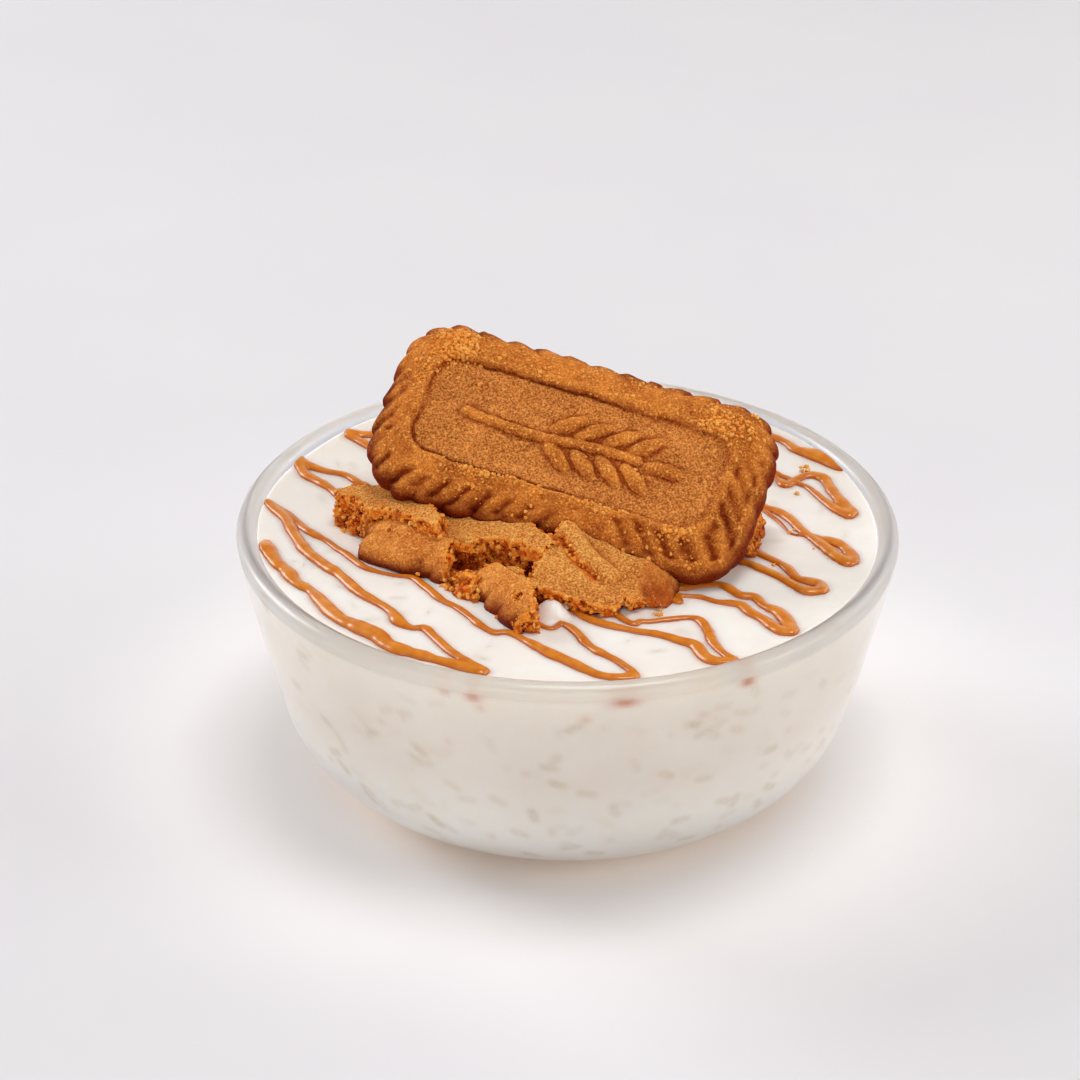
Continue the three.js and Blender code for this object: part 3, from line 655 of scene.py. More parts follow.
def pudding_height(x, y):
    """The pudding's top in plan: slow waves, a small mound, and a rise where it meets the glass."""
    wave = np.sin(x / 10.5 + 1.1) * np.cos(y / 12.3 + 0.4) + 0.5 * np.sin((x + y) / 9.1)
    height = LEVEL + WAVES * wave + BUMPS * plan_noise(x, y, 7, 1) + RIPPLES * plan_noise(x, y, 3, 2)
    away = np.hypot(x - MOUND["x"], y - MOUND["y"]) / MOUND["radius"]
    height += MOUND["height"] * np.exp(-((away / 0.8) ** 3)) * (1 + 0.15 * plan_noise(x, y, 1.6, 5))
    return height + MENISCUS * np.exp(-np.clip(inner_radius() - np.hypot(x, y), 0, None) / MENISCUS_WIDTH)


def side_grains(draw, ahead=0.5):
    """Grains of rice at the glass, each a middle, a direction, an outward direction and a strength."""
    section = np.array(wall_section(THICKNESS - INTO_WALL, LEVEL - 1.5, 40, 40))
    along = np.concatenate([[0], np.cumsum(np.hypot(*np.diff(section, axis=0).T))])
    grains = []
    while len(grains) < SIDE_GRAINS:
        at = draw.uniform(0, along[-1])
        radius, z = [np.interp(at, along, section[:, i]) for i in (0, 1)]
        next_radius, next_z = [np.interp(at + ahead, along, section[:, i]) for i in (0, 1)]
        angle = draw.uniform(0, 2 * math.pi)
        if draw.uniform(0, RIM_RADIUS) > radius:
            continue
        slope = np.array([next_radius - radius, next_z - z])
        slope = slope / max(np.hypot(*slope), 1e-6) if at + ahead < along[-1] else np.array([0.25, 0.97])
        around = np.array([-math.sin(angle), math.cos(angle), 0])
        up = np.array([slope[0] * math.cos(angle), slope[0] * math.sin(angle), slope[1]])
        tilt = math.radians(draw.normal(-12, 34))
        direction = math.cos(tilt) * around + math.sin(tilt) * up
        middle = np.array([radius * math.cos(angle), radius * math.sin(angle), z])
        grains.append((middle, direction, np.cross(around, up), 0.08 + 0.45 * draw.uniform(0, 1) ** 2))
    return grains


def top_grains(draw):
    """Grains of rice that lie flat in the top, given like those at the side."""
    grains = []
    while len(grains) < TOP_GRAINS:
        x, y = draw.uniform(-GRAIN_REACH, GRAIN_REACH, 2)
        if math.hypot(x, y) > GRAIN_REACH:
            continue
        angle = draw.uniform(0, math.pi)
        middle = np.array([x, y, pudding_height(np.array([x]), np.array([y]))[0]])
        direction = np.array([math.cos(angle), math.sin(angle), 0])
        grains.append((middle, direction, np.array([0, 0, 1.0]), draw.uniform(0.05, 0.34)))
    return grains


def grain_tint(vertices, grains, half_length=0.9, half_width=0.4):
    """How much of a grain shows through the pudding at each vertex, from 0 to 1."""
    tint = np.zeros(len(vertices))
    for middle, direction, _, strength in grains:
        near = np.flatnonzero(np.abs(vertices - middle).max(axis=1) < 6)
        offset = vertices[near] - middle
        along = offset @ direction
        rest = offset - np.clip(along, -half_length, half_length)[:, None] * direction
        away = np.linalg.norm(rest, axis=1)
        tint[near] = np.maximum(tint[near], strength * smoothstep(half_width + 0.9, half_width - 0.3, away))
    return tint


def caramel_stain(vertices, beside_glass, stroke_axis, plans):
    """How far caramel stains the pudding at the glass in front, and how much painted warm glow, for light
    from the caramel, lies on the top beside the strokes, at each vertex.
    """
    stain = np.zeros(len(vertices))
    draw = np.random.default_rng(3)
    specks = [
        (draw.uniform(-44, 44), draw.uniform(8, 38), SPECK_WIDTH, draw.uniform(0.06, 0.2))
        for _ in range(SPECKS)
    ]
    for x, z, wide, strength in CARAMEL_STAINS + specks:
        away = np.hypot((vertices[:, 0] - x) / wide, (vertices[:, 2] - z) / STAIN_HEIGHT)
        stain = np.maximum(stain, strength * np.exp(-(away**2)) * beside_glass * (vertices[:, 1] < 0))
    cells = np.round((vertices[:, :2] - stroke_axis[0]) / CARAMEL_STEP).astype(int)
    cells = np.clip(cells, 0, len(stroke_axis) - 1)
    beyond = np.min([away - width for away, width in plans], axis=0)[tuple(cells.T)]
    # Beside the strokes on the top: a painted warm glow, standing in for light from the caramel.
    return np.maximum(stain, 0.2 * smoothstep(1.0, 0, beyond) * (1 - beside_glass))


def make_pudding(material, grains, stroke_axis, plans):
    """The pudding out to just inside the glass, with a fine top that has a painted warm glow beside the
    caramel.
    """
    side = wall_section(THICKNESS - INTO_WALL, LEVEL, SIDE_RINGS // 2, SIDE_RINGS // 2)[::-1]
    shares = np.linspace(0, 1, TOP_RINGS)[1:]
    plan = (side[0][0] * shares[:, None, None] * circle(PUDDING_SEGMENTS)).reshape(-1, 2)
    top = np.column_stack([plan, pudding_height(plan[:, 0], plan[:, 1])])
    bottom = THICKNESS - INTO_WALL
    below = side[1:] + [(radius, bottom) for radius in BOTTOM_RINGS]
    centre = [[0, 0, pudding_height(np.zeros(1), np.zeros(1))[0]]]
    wall = turned_rings(below, PUDDING_SEGMENTS)
    vertices = np.concatenate([centre, top, wall, [[0, 0, bottom]]])
    faces = ring_faces(len(shares) + len(below), PUDDING_SEGMENTS)
    beside_glass = (np.arange(len(vertices)) > len(top)).astype(float)
    pudding = add_piece(
        "rice_pudding", vertices, faces, material, "pudding",
        grain=grain_tint(vertices, grains), side=beside_glass,
        stain=caramel_stain(vertices, beside_glass, stroke_axis, plans),
    )
    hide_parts("pudding")


def make_grains(material, grains, rows=7, segments=8):
    """The grains of rice that touch the pudding's surface, as one mesh."""
    draw = np.random.default_rng(5)
    section = [(math.sin(a), math.cos(a)) for a in np.linspace(0, math.pi, rows)]
    unit, unit_faces = lathe(section, segments)
    vertices, faces, tint, side = [], [], [], []
    for middle, direction, outward, strength in grains:
        across = np.cross(outward, direction)
        size = GRAIN_SIZE * draw.uniform(0.6, 1.2)
        turned = (unit * size) @ np.stack([across, outward, direction])
        sunk = middle - outward * (0.9 * size[1])
        start = len(vertices) * len(unit)
        vertices.append(turned + sunk)
        above = (turned + sunk - middle) @ outward
        tint.append(strength * smoothstep(-0.05, 0.12, above))
        side.append(np.full(len(unit), float(outward[2] < 0.9)))
        faces += [tuple(start + i for i in face) for face in unit_faces]
    add_piece(
        "rice_grains", np.concatenate(vertices), faces, material, "pudding",
        grain=np.concatenate(tint), side=np.concatenate(side),
    )


# ---------------------------------------------------------------- caramel


def catmull_rom(points, spacing):
    """Points about spacing apart on a smooth line through the given ones."""
    points = np.array(points, float)
    padded = np.concatenate([[2 * points[0] - points[1]], points, [2 * points[-1] - points[-2]]])
    found = []
    for i in range(len(points) - 1):
        p0, p1, p2, p3 = padded[i : i + 4]
        t = np.linspace(0, 1, max(2, int(np.linalg.norm(p2 - p1) / spacing)), endpoint=False)[:, None]
        bend = (2 * p0 - 5 * p1 + 4 * p2 - p3) * t**2 + (3 * p1 - p0 - 3 * p2 + p3) * t**3
        found.append(p1 + 0.5 * ((p2 - p0) * t + bend))
    return np.concatenate([*found, points[-1:]])


def stroke_samples(number):
    """A stroke's points and its half width at each, with a slight sway and ripple."""
    line = catmull_rom(STROKES[number], STROKE_SPACING)
    plan, width = line[:, :2], line[:, 2] / 2
    along = np.concatenate([[0], np.cumsum(np.linalg.norm(np.diff(plan, axis=0), axis=1))])
    track = np.stack([along, 0 * along, np.full_like(along, 9.7 * number)], axis=1)
    heading = np.gradient(plan, axis=0)
    heading /= np.linalg.norm(heading, axis=1)[:, None] + 1e-9
    sideways = np.stack([-heading[:, 1], heading[:, 0]], axis=1)
    width = width * (CARAMEL_SPREAD + 0.16 * noise(track, 2.2) + 0.07 * noise(track, 1.1, 3))
    return plan + 0.1 * noise(track, 2.4, 6)[:, None] * sideways, np.maximum(width, 0.3)


def stroke_plans():
    """The axis of a grid in plan, and the distance and half width of each stroke at the grid's points."""
    step, reach = CARAMEL_STEP, inner_radius()
    axis = np.arange(-reach - 1, reach + 1 + step, step)
    plan_x, plan_y = np.meshgrid(axis, axis, indexing="ij")
    patch = int(STROKE_REACH / step)
    plans = []
    for number in range(len(STROKES)):
        away, width = np.full(plan_x.shape, FAR), np.ones(plan_x.shape)
        for (x, y), half in zip(*stroke_samples(number)):
            i, j = [int(round((v - axis[0]) / step)) for v in (x, y)]
            block = (slice(max(i - patch, 0), i + patch), slice(max(j - patch, 0), j + patch))
            distance = np.hypot(plan_x[block] - x, plan_y[block] - y)
            closer = distance - half < away[block] - width[block]
            away[block] = np.where(closer, distance, away[block])
            width[block] = np.where(closer, half, width[block])
        plans.append((away, width))
    return axis, plans


def make_caramel(axis, plans):
    """All strokes in one glossy mesh, melted together where they meet."""
    step = CARAMEL_STEP
    plan_x, plan_y = np.meshgrid(axis, axis, indexing="ij")
    surface = pudding_height(plan_x, plan_y)
    low = np.array([axis[0], axis[0], LEVEL - GRID_UNDER])
    levels = low[2] + np.arange(int(GRID_TALL / step)) * step
    melted = np.zeros((len(axis), len(axis), len(levels)))
    for away, width in plans:
        near = away - width < 1.5
        flat = (levels - surface[near][:, None]) / CARAMEL_RISE
        field = np.sqrt(away[near][:, None] ** 2 + flat**2) - width[near][:, None]
        melted[near] += np.exp(-MELTING * np.clip(field, -3, 3))
    values = -np.log(np.maximum(melted, 1e-12)) / MELTING
    values = np.maximum(values, np.hypot(plan_x, plan_y)[:, :, None] - (inner_radius() + 0.1))
    vertices, faces = surface_net(values, low, step)
    above = vertices[:, 2] - pudding_height(vertices[:, 0], vertices[:, 1])
    add_piece(
        "caramel_drizzle", vertices, faces, caramel_material(), "caramel", thick=smoothstep(0.1, 0.6, above)
    )


# ---------------------------------------------------------------- biscuits


def edge_coordinates(x, y):
    """How far a point is in from the biscuit's edge, how far round from the edge's lower right corner, and in
    what direction inwards from the edge, in degrees.
    """
    half_x, half_y = LENGTH / 2 - BISCUIT_CORNER, WIDTH / 2 - BISCUIT_CORNER
    core_x, core_y = np.clip(x, -half_x, half_x), np.clip(y, -half_y, half_y)
    out_x, out_y = x - core_x, y - core_y
    side = np.where(out_y >= 0, 1.0, -1.0)
    arc = BISCUIT_CORNER * np.abs(np.arctan2(out_y, out_x))
    round_ends = side * (arc + half_y + half_x - core_x)
    on_side = np.where(out_x > 0, core_y, BISCUIT_CORNER * math.pi + 2 * half_y + 2 * half_x - core_y)
    along = np.where(out_y == 0, on_side, round_ends) + half_y
    inward = np.degrees(np.arctan2(-out_y, -out_x)) % 360
    return BISCUIT_CORNER - np.hypot(out_x, out_y), along, inward


def creases(x, y):
    """How far in a point is, the scallops of the edge, and the slanted dents that lead in from it.

    A scallop is 0 on a lobe and 1 in the notch between two. A dent is from 0 to its depth in millimetres.
    """
    inset, along, inward = edge_coordinates(x, y)
    around = 4 * (LENGTH / 2 + WIDTH / 2 - 2 * BISCUIT_CORNER) + 2 * math.pi * BISCUIT_CORNER
    lean = np.where(x < 8, CREASE_LEAN, 180 - CREASE_LEAN)
    slant = np.tan(np.radians(np.clip((inward - lean + 180) % 360 - 180, -50, 50)))
    turns = (along - slant * np.clip(inset, 0, None)) / around
    number = np.round(CREASES * turns)
    across = (CREASES * turns - number) * around / CREASES / np.sqrt(1 + slant**2)
    crease = number.astype(int) % 32
    chance = LATTICE[crease, 7, 3], LATTICE[crease, 9, 5]
    right = smoothstep(10, 16, x)
    lower = smoothstep(8, 2, y) * np.interp(x, [-31, -25, -12, -2, 11, 18], [0.4, 0.85, 0.9, 0.4, 0.2, 0.72])
    strength = (0.1 + lower) * (0.6 + 0.6 * chance[0])
    start = 0.8 * chance[1] + 1.2 * right
    end = np.where(x < 10, 4.2 + 0.8 * chance[0], PANEL_INSET - 0.2)
    wide = 0.6 + 0.3 * chance[1] + 0.3 * right
    dent = np.exp(-((across / wide) ** 2)) * smoothstep(start, start + 1.0, inset)
    dent *= smoothstep(end, end - 1.8, inset)
    lobe = np.floor(CRIMPS * turns).astype(int)
    scallop = (1 - np.abs(np.sin(math.pi * CRIMPS * turns)) ** 0.8) * (0.75 + 0.5 * LATTICE[lobe % 32, 5, 1])
    scallop *= 1 - 0.75 * smoothstep(6, 20, x) * smoothstep(7, -3, y)
    return inset, scallop, CREASE_DEPTH * strength * dent


def panel_inset(x, y):
    """How far inside the edge of the panel a point is."""
    out_x = np.clip(np.abs(x) - (LENGTH / 2 - PANEL_INSET - PANEL_CORNER), 0, None)
    out_y = np.clip(np.abs(y) - (WIDTH / 2 - PANEL_INSET - PANEL_CORNER), 0, None)
    inside = PANEL_CORNER - np.hypot(out_x, out_y)
    return inside + 0.35 * plan_noise(x, y, 5, 17) + 0.2 * plan_noise(x, y, 2.2, 9)


def crack(x, y):
    """A torn line along the edge of the panel, in parts of its length."""
    line = np.exp(-(((panel_inset(x, y) - 0.1) / 0.3) ** 2))
    line *= smoothstep(22, 14, x + 0.5 * np.clip(-y, 0, None))
    return line * smoothstep(-0.2, 0.4, plan_noise(x, y, 6, 10) + 0.3 * plan_noise(x, y, 1.2, 11))


def relief_field(p):
    """A plain ear of grain in raised relief: a stem with pairs of grains along it."""
    x, y, z = p.T
    z = z + PANEL_DEPTH
    stem_x = np.clip(x, *STEM)
    field = np.sqrt((x - stem_x) ** 2 + (y - 0.5 * np.sin(x / 5)) ** 2 + z**2) - STEM_RADIUS
    long, wide, high = EAR_GRAIN
    grains = [(16.3, 0, 0)]
    for place in (-3.5, 1, 5.5, 10):
        grains += [(place + 2.2, 3, 36), (place + 2.2, -3, -36)]
    for middle_x, middle_y, lean in grains:
        turn = math.radians(lean)
        along = (x - middle_x) * math.cos(turn) + (y - middle_y) * math.sin(turn)
        across = (y - middle_y) * math.cos(turn) - (x - middle_x) * math.sin(turn)
        size = np.sqrt((along / long) ** 2 + (across / wide) ** 2 + (z / high) ** 2)
        field = smooth_min(field, (size - 1) * 1.1, 0.25)
    return field


def biscuit_field(p, piece, fine=True):
    """Below zero inside a whole biscuit: flat below, a crimped edge, a low ridge, and a sunk flat panel."""
    x, y, z = p.T
    ridge = piece["ridge"]
    inset, scallop, dent = creases(x, y)
    dent = dent * piece.get("dents", 1)
    bottom, widest = -BISCUIT_THICKNESS, 2.6 - BISCUIT_THICKNESS
    swell = piece.get("marked", 0) * smoothstep(4, -14, x) * smoothstep(-32, -17, x) * smoothstep(4, -9, y)
    z = np.where(z < -1.5, -1.5 + (z + 1.5) / (1 + THICKER * swell), z)
    outline = inset + SWELL * swell - SCALLOP_DEPTH * scallop * smoothstep(4, 0.5, inset)
    places = [-1.5, 0, 0.6, 1.5, 3, 4.6, 6.2]
    upper = np.interp(outline, places, [widest - 4, widest, -2.75, -1.75, -0.75, -0.25, 0]) - dent
    inside = panel_inset(x, y)
    upper += ridge * (0.25 * np.exp(-(((inside + 0.8) / 0.8) ** 2)) - CRACK_DEPTH * crack(x, y))
    soft = smoothstep(14, 24, x)
    sunk = PANEL_DEPTH * ridge + 0.35 * (1 - ridge)
    upper -= sunk * smoothstep(-0.6 - 0.8 * soft, 0.35 + 0.6 * soft, inside)
    upper += 0.25 * ridge * plan_noise(x, y, 3.2, 7) * smoothstep(0.5, -1.5, inside)
    lower = np.interp(outline, [-1.5, 0, 0.3, 1.4, 3], [widest + 6, widest, bottom + 0.9, bottom, bottom])
    steep_up = np.interp(outline, [0, 0.6, 1.5, 3, 5], [2.6, 1.7, 1.3, 1.1, 1.0])
    steep_down = np.interp(outline, [-0.2, 0.3, 1.4], [4.5, 2.0, 1.0])
    field = smooth_max((z - upper) / steep_up, (lower - z) / steep_down, 0.9)
    if fine:
        near = np.flatnonzero(np.abs(field) < 1.2)
        q = p[near]
        lumps = 0.17 * noise(q, 3.1, 1) + 0.12 * noise(q, 1.3, 2) + 0.09 * noise(q, 0.65, 3)
        field[near] += lumps * np.where(inside[near] > 0, 0.45, 1.0)
    if piece.get("marked"):
        raised = relief_field(p)
        near = np.flatnonzero(np.abs(raised) < 1)
        raised[near] += 0.12 * noise(p[near], 1.1, 5)
        field = smooth_min(field, raised, 0.3)
    return field


def polygon_distance(x, y, outline):
    """The distance to an outline in plan, below zero inside."""
    points = np.array(outline, float)
    best = np.full(x.shape, np.inf)
    inside = np.zeros(x.shape, bool)
    for (ax, ay), (bx, by) in zip(points, np.roll(points, -1, axis=0)):
        ex, ey = bx - ax, by - ay
        share = np.clip(((x - ax) * ex + (y - ay) * ey) / (ex * ex + ey * ey), 0, 1)
        best = np.minimum(best, np.hypot(x - ax - share * ex, y - ay - share * ey))
        crosses = (ay > y) != (by > y)
        inside ^= crosses & (x < ax + (y - ay) * ex / (ey if ey else 1e-9))
    return np.where(inside, -best, best)


def erosion(p):
    """How far crumbs have come off a broken side, in millimetres."""
    crags = 0.5 * noise(p, 2.1, 9) + 0.36 * noise(p, 1.1, 10) + 0.2 * noise(p, 0.6, 12)
    pits = 1.2 * smoothstep(0.2, 0.7, noise(p, 1.5, 11))
    return crags + pits + 0.7 * smoothstep(0.25, 0.7, noise(p, 0.8, 13))


def fracture_field(p, piece):
    """Below zero inside the broken outline, whose faces lean and crumble."""
    lean = 0.9 * noise(p, 5.0, 8) * piece["crumble"] + piece.get("flare", 0) * np.clip(p[:, 2] + 0.6, None, 0)
    field = polygon_distance(p[:, 0], p[:, 1], piece["outline"]) + lean
    near = np.flatnonzero(np.abs(field) < 2.2)
    below_top = 0.45 + 0.55 * smoothstep(-0.3, -2.2, p[near, 2])
    field[near] += piece["crumble"] * below_top * erosion(p[near])
    return field


def segment_distance(p, start, end):
    """The distance from points to a line from start to end."""
    start, end = np.array(start, float), np.array(end, float)
    along = end - start
    share = np.clip((p - start) @ along / (along @ along), 0, 1)
    return np.linalg.norm(p - start - share[:, None] * along, axis=1)


def hollow_field(p, piece):
    """Above zero inside the hollows that a broken side has."""
    field = np.full(len(p), -9.0)
    for middle, long, wide in piece.get("holes", ()):
        inside = (1 - np.linalg.norm((p - middle) / (long, wide, wide), axis=1)) * min(long, wide)
        field = np.maximum(field, inside + 0.4 * noise(p, 1.4, 14) * (inside > -2))
    for start, end, radius in piece.get("cuts", ()):
        field = np.maximum(field, radius - segment_distance(p, start, end) + 0.2 * noise(p, 1.1, 16))
    return field


def pose_of(piece):
    """The matrix that takes a biscuit's own frame to the bowl's, in millimetres."""
    heading, tip, roll = [math.radians(angle) for angle in piece["turn"]]
    x, y, above = piece["at"]
    turn = Matrix.Rotation(heading, 4, "Z") @ Matrix.Rotation(tip, 4, "X") @ Matrix.Rotation(roll, 4, "Y")
    held = Matrix.Translation((-piece["held"][0], -piece["held"][1], 0))
    return Matrix.Translation((x, y, LEVEL + above)) @ turn @ held


def moved(points, matrix):
    """Points taken by a matrix to where it puts them."""
    m = np.array(matrix)
    return points @ m[:3, :3].T + m[:3, 3]


def piece_field(p, piece, fine=True):
    """Below zero inside a piece, and its two parts: the whole biscuit that it was, and where it broke."""
    whole = biscuit_field(p, piece, fine)
    if "outline" not in piece:
        return whole, whole, whole
    if not fine:
        return np.maximum(whole, polygon_distance(p[:, 0], p[:, 1], piece["outline"])), whole, whole
    for start, end, radius in piece.get("ribs", ()):
        whole = smooth_min(whole, segment_distance(p, start, end) - radius + 0.15 * noise(p, 1.2, 15), 0.7)
    if piece.get("torn"):
        whole = whole + 0.6 * erosion(p)
    broken = np.maximum(fracture_field(p, piece), hollow_field(p, piece))
    return np.maximum(whole, broken), whole, broken


def add_biscuit(piece, vertices, faces, broken, material, slot):
    """A biscuit in its place, and where its surface may carry crumbs."""
    x, y, z = vertices.T
    inset, _, dent = creases(x, y)
    inside = panel_inset(x, y)
    panel = smoothstep(-0.6, 0.1, inside) * smoothstep(-PANEL_DEPTH - 1.2, -PANEL_DEPTH - 0.4, z)
    raised = panel * smoothstep(-PANEL_DEPTH + 0.25, -PANEL_DEPTH + 0.5, z) * piece.get("marked", 0)
    # Where painted shade darkens the dents and the torn line along the panel.
    deep = 0.6 * dent * piece.get("dents", 1) + 0.6 * crack(x, y) * (z > -2) * piece["ridge"]
    deep = np.clip(deep, 0, 1) * (1 - broken)
    # Darker below the top: partly the crust's own browning, partly painted shade on the lower side; paler
    # again on the underside.
    side = smoothstep(-0.8, -3.8, z + 0.8 * plan_noise(x, y, 3, 12)) * (1 - broken)
    side *= 1 - UNDERSIDE_PALER * smoothstep(1.2, 3.5, inset)
    placed = moved(vertices, pose_of(piece))
    wet = smoothstep(1.6, 0, placed[:, 2] - LEVEL + 0.6 * noise(placed, 3.0, 20))
    if "soaked" in piece:
        middle_x, middle_y, radius = piece["soaked"]
        wet = np.maximum(wet, 1.2 * np.exp(-((x - middle_x) ** 2 + (y - middle_y) ** 2) / radius**2))
    normals = outward_normals(placed, faces)
    # How far each vertex stands out, which the material turns into painted shade in pores and painted light
    # on crests.
    proud = np.clip(0.5 + unevenness(placed, faces, normals) / UNEVEN_RANGE, 0, 1)
    made = add_piece(
        piece["name"] + "_baked", placed, faces, material, slot,
        panel=panel * (1 - raised), broken=broken, deep=deep, wet=np.clip(wet, 0, 1), side=side, proud=proud,
    )
    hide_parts(piece["name"])
    top = (z > -2.2) & (broken < 0.3)
    sprinkled = top * (1 - 0.92 * panel + 0.6 * raised) * smoothstep(-0.1, 0.65, noise(vertices, 5, 31))
    beside_panel = np.exp(-(((inside + 0.9) / 1.0) ** 2))
    sprinkled *= 0.05 + beside_panel + 0.6 * smoothstep(12, 24, x) * (y > -6) * (inset > 3)
    sprinkled += top * np.exp(-((x + 24) ** 2 + (y - 12) ** 2) / 12) * (inset > 2.5)
    return placed, normals, sprinkled, broken


def outward_normals(vertices, quads):
    """A unit normal for each vertex."""
    corners = vertices[quads]
    across = np.cross(corners[:, 2] - corners[:, 0], corners[:, 3] - corners[:, 1])
    normals = np.zeros_like(vertices)
    for i in range(4):
        np.add.at(normals, quads[:, i], across)
    return normals / (np.linalg.norm(normals, axis=1)[:, None] + 1e-12)


def unevenness(vertices, quads, normals, rounds=8):
    """How far each vertex stands out from its surroundings, in millimetres, below zero in a pore."""
    sides = np.concatenate([quads[:, [i, (i + 1) % 4]] for i in range(4)])
    counts = np.bincount(sides[:, 0], minlength=len(vertices))
    smoothed = vertices
    for _ in range(rounds):
        near = [np.bincount(sides[:, 0], smoothed[sides[:, 1], i], len(vertices)) for i in range(3)]
        smoothed = np.stack(near, axis=1) / counts[:, None]
    return ((vertices - smoothed) * normals).sum(axis=1)


def make_whole_biscuit(material):
    """The whole biscuit, which nothing cuts."""
    low = (-LENGTH / 2 - 2, -WIDTH / 2 - 2, -BISCUIT_THICKNESS - 2.2)
    high = (LENGTH / 2 + 1.5, WIDTH / 2 + 1.5, 1.6)
    points, shape = grid(low, high, BISCUIT_STEP)
    values = piece_field(points, WHOLE)[0].reshape(shape)
    vertices, faces = surface_net(values, low, BISCUIT_STEP)
    return add_biscuit(WHOLE, vertices, faces, np.zeros(len(vertices)), material, "biscuit")


def make_broken_biscuit(piece, before, material):
    """A piece, cut clear of the ones that were laid before it."""
    outline = np.array(piece["outline"])
    room = 1.6
    low = np.maximum(outline.min(axis=0) - room, (-LENGTH / 2 - room, -WIDTH / 2 - room))
    high = np.minimum(outline.max(axis=0) + room, (LENGTH / 2 + room, WIDTH / 2 + room))
    low = (*low, -BISCUIT_THICKNESS - room)
    high = (*high, room)
    points, shape = grid(low, high, PIECE_STEP)
    values = piece_field(points, piece)[0]
    place = pose_of(piece)
    for other in before:
        there = moved(points, pose_of(other).inverted() @ place)
        near = np.flatnonzero(
            (np.abs(there[:, 0]) < LENGTH / 2 + 1) & (np.abs(there[:, 1]) < WIDTH / 2 + 1)
            & (there[:, 2] > -BISCUIT_THICKNESS - 1) & (there[:, 2] < 1)
        )
        if len(near):
            taken = piece_field(there[near], other, fine=False)[0]
            values[near] = np.maximum(values[near], CLEARANCE - taken)
    values = np.maximum(values, box_edge(points, low, high))
    vertices, faces = surface_net(values.reshape(shape), low, PIECE_STEP)
    vertices, faces = largest_body(vertices, faces)
    _, whole, torn = piece_field(vertices, piece)
    broken = np.maximum(smoothstep(-0.45, 0.05, torn - whole), piece.get("torn", 0))
    return add_biscuit(piece, vertices, faces, broken, material, "broken_biscuit")


def box_edge(points, low, high):
    """Below zero inside the grid's box, so that a surface closes before it leaves the grid."""
    low, high = np.array(low) + 2 * PIECE_STEP, np.array(high) - 2 * PIECE_STEP
    return np.maximum(low - points, points - high).max(axis=1)


def largest_body(vertices, faces):
    """The mesh without the loose scraps that noise leaves."""
    label = np.arange(len(vertices))
    while True:
        lowest = label[faces].min(axis=1)
        joined = label.copy()
        np.minimum.at(joined, faces.ravel(), np.repeat(lowest, faces.shape[1]))
        joined = joined[joined]
        if (joined == label).all():
            break
        label = joined
    kept = label == np.bincount(label).argmax()
    number = np.cumsum(kept) - 1
    return vertices[kept], number[faces[kept[faces[:, 0]]]]


# ---------------------------------------------------------------- crumbs


def rocks(count, draw):
    """Small irregular lumps of unit size, as (vertices, triangles)."""
    golden = (1 + math.sqrt(5)) / 2
    corners = [(0, a, b * golden) for a in (-1, 1) for b in (-1, 1)]
    corners = np.array(corners + [(b, c, a) for a, b, c in corners] + [(c, a, b) for a, b, c in corners])
    corners /= np.linalg.norm(corners[0])
    gaps = np.linalg.norm(corners[:, None] - corners, axis=2)
    beside = (gaps > 0.1) & (gaps < 1.2)
    triangles = []
    for a, b, c in [(a, b, c) for a in range(len(corners)) for b in range(a) for c in range(b)]:
        if beside[a, b] and beside[b, c] and beside[a, c]:
            turn = np.dot(np.cross(corners[b] - corners[a], corners[c] - corners[a]), corners[a])
            triangles.append((a, b, c) if turn > 0 else (a, c, b))
    return [(corners * draw.uniform(0.7, 1.25, (len(corners), 1)), triangles) for _ in range(count)]


def add_crumbs(name, places, sizes, tones, material, slot, draw):
    """One mesh of crumbs, each sunk a little into what it lies on."""
    shapes = rocks(ROCK_SHAPES, draw)
    vertices, faces, tone = [], [], []
    for place, size, shade in zip(places, sizes, tones):
        corners, triangles = shapes[draw.integers(len(shapes))]
        turn = np.array(Euler(draw.uniform(0, 6.28, 3)).to_matrix())
        stretch = size * draw.uniform(0.75, 1.25, 3)
        start = len(corners) * len(vertices)
        vertices.append((corners * stretch) @ turn + place)
        faces += [(start + a, start + b, start + c) for a, b, c in triangles]
        tone += [shade] * len(corners)
    piece = add_piece(name, np.concatenate(vertices), faces, material, slot, tone=tone)
    piece.data.shade_flat()


def pick(chances, count, draw):
    """Numbers of vertices, drawn with these chances."""
    chances = np.clip(chances, 0, None)
    return draw.choice(len(chances), size=count, p=chances / chances.sum())


def scatter(name, kind, places, normals, chances, material, slot, draw):
    """Crumbs of a kind on a surface, at vertices drawn with these chances."""
    count = kind["count"]
    found = pick(chances, count, draw)
    sizes = kind["smallest"] + kind["range"] * draw.uniform(0, 1, count) ** kind["power"]
    tones = draw.uniform(*kind["tones"], count)
    middles = places[found] + normals[found] * sizes[:, None] * kind["lift"]
    add_crumbs(name, middles, sizes, tones, material, slot, draw)


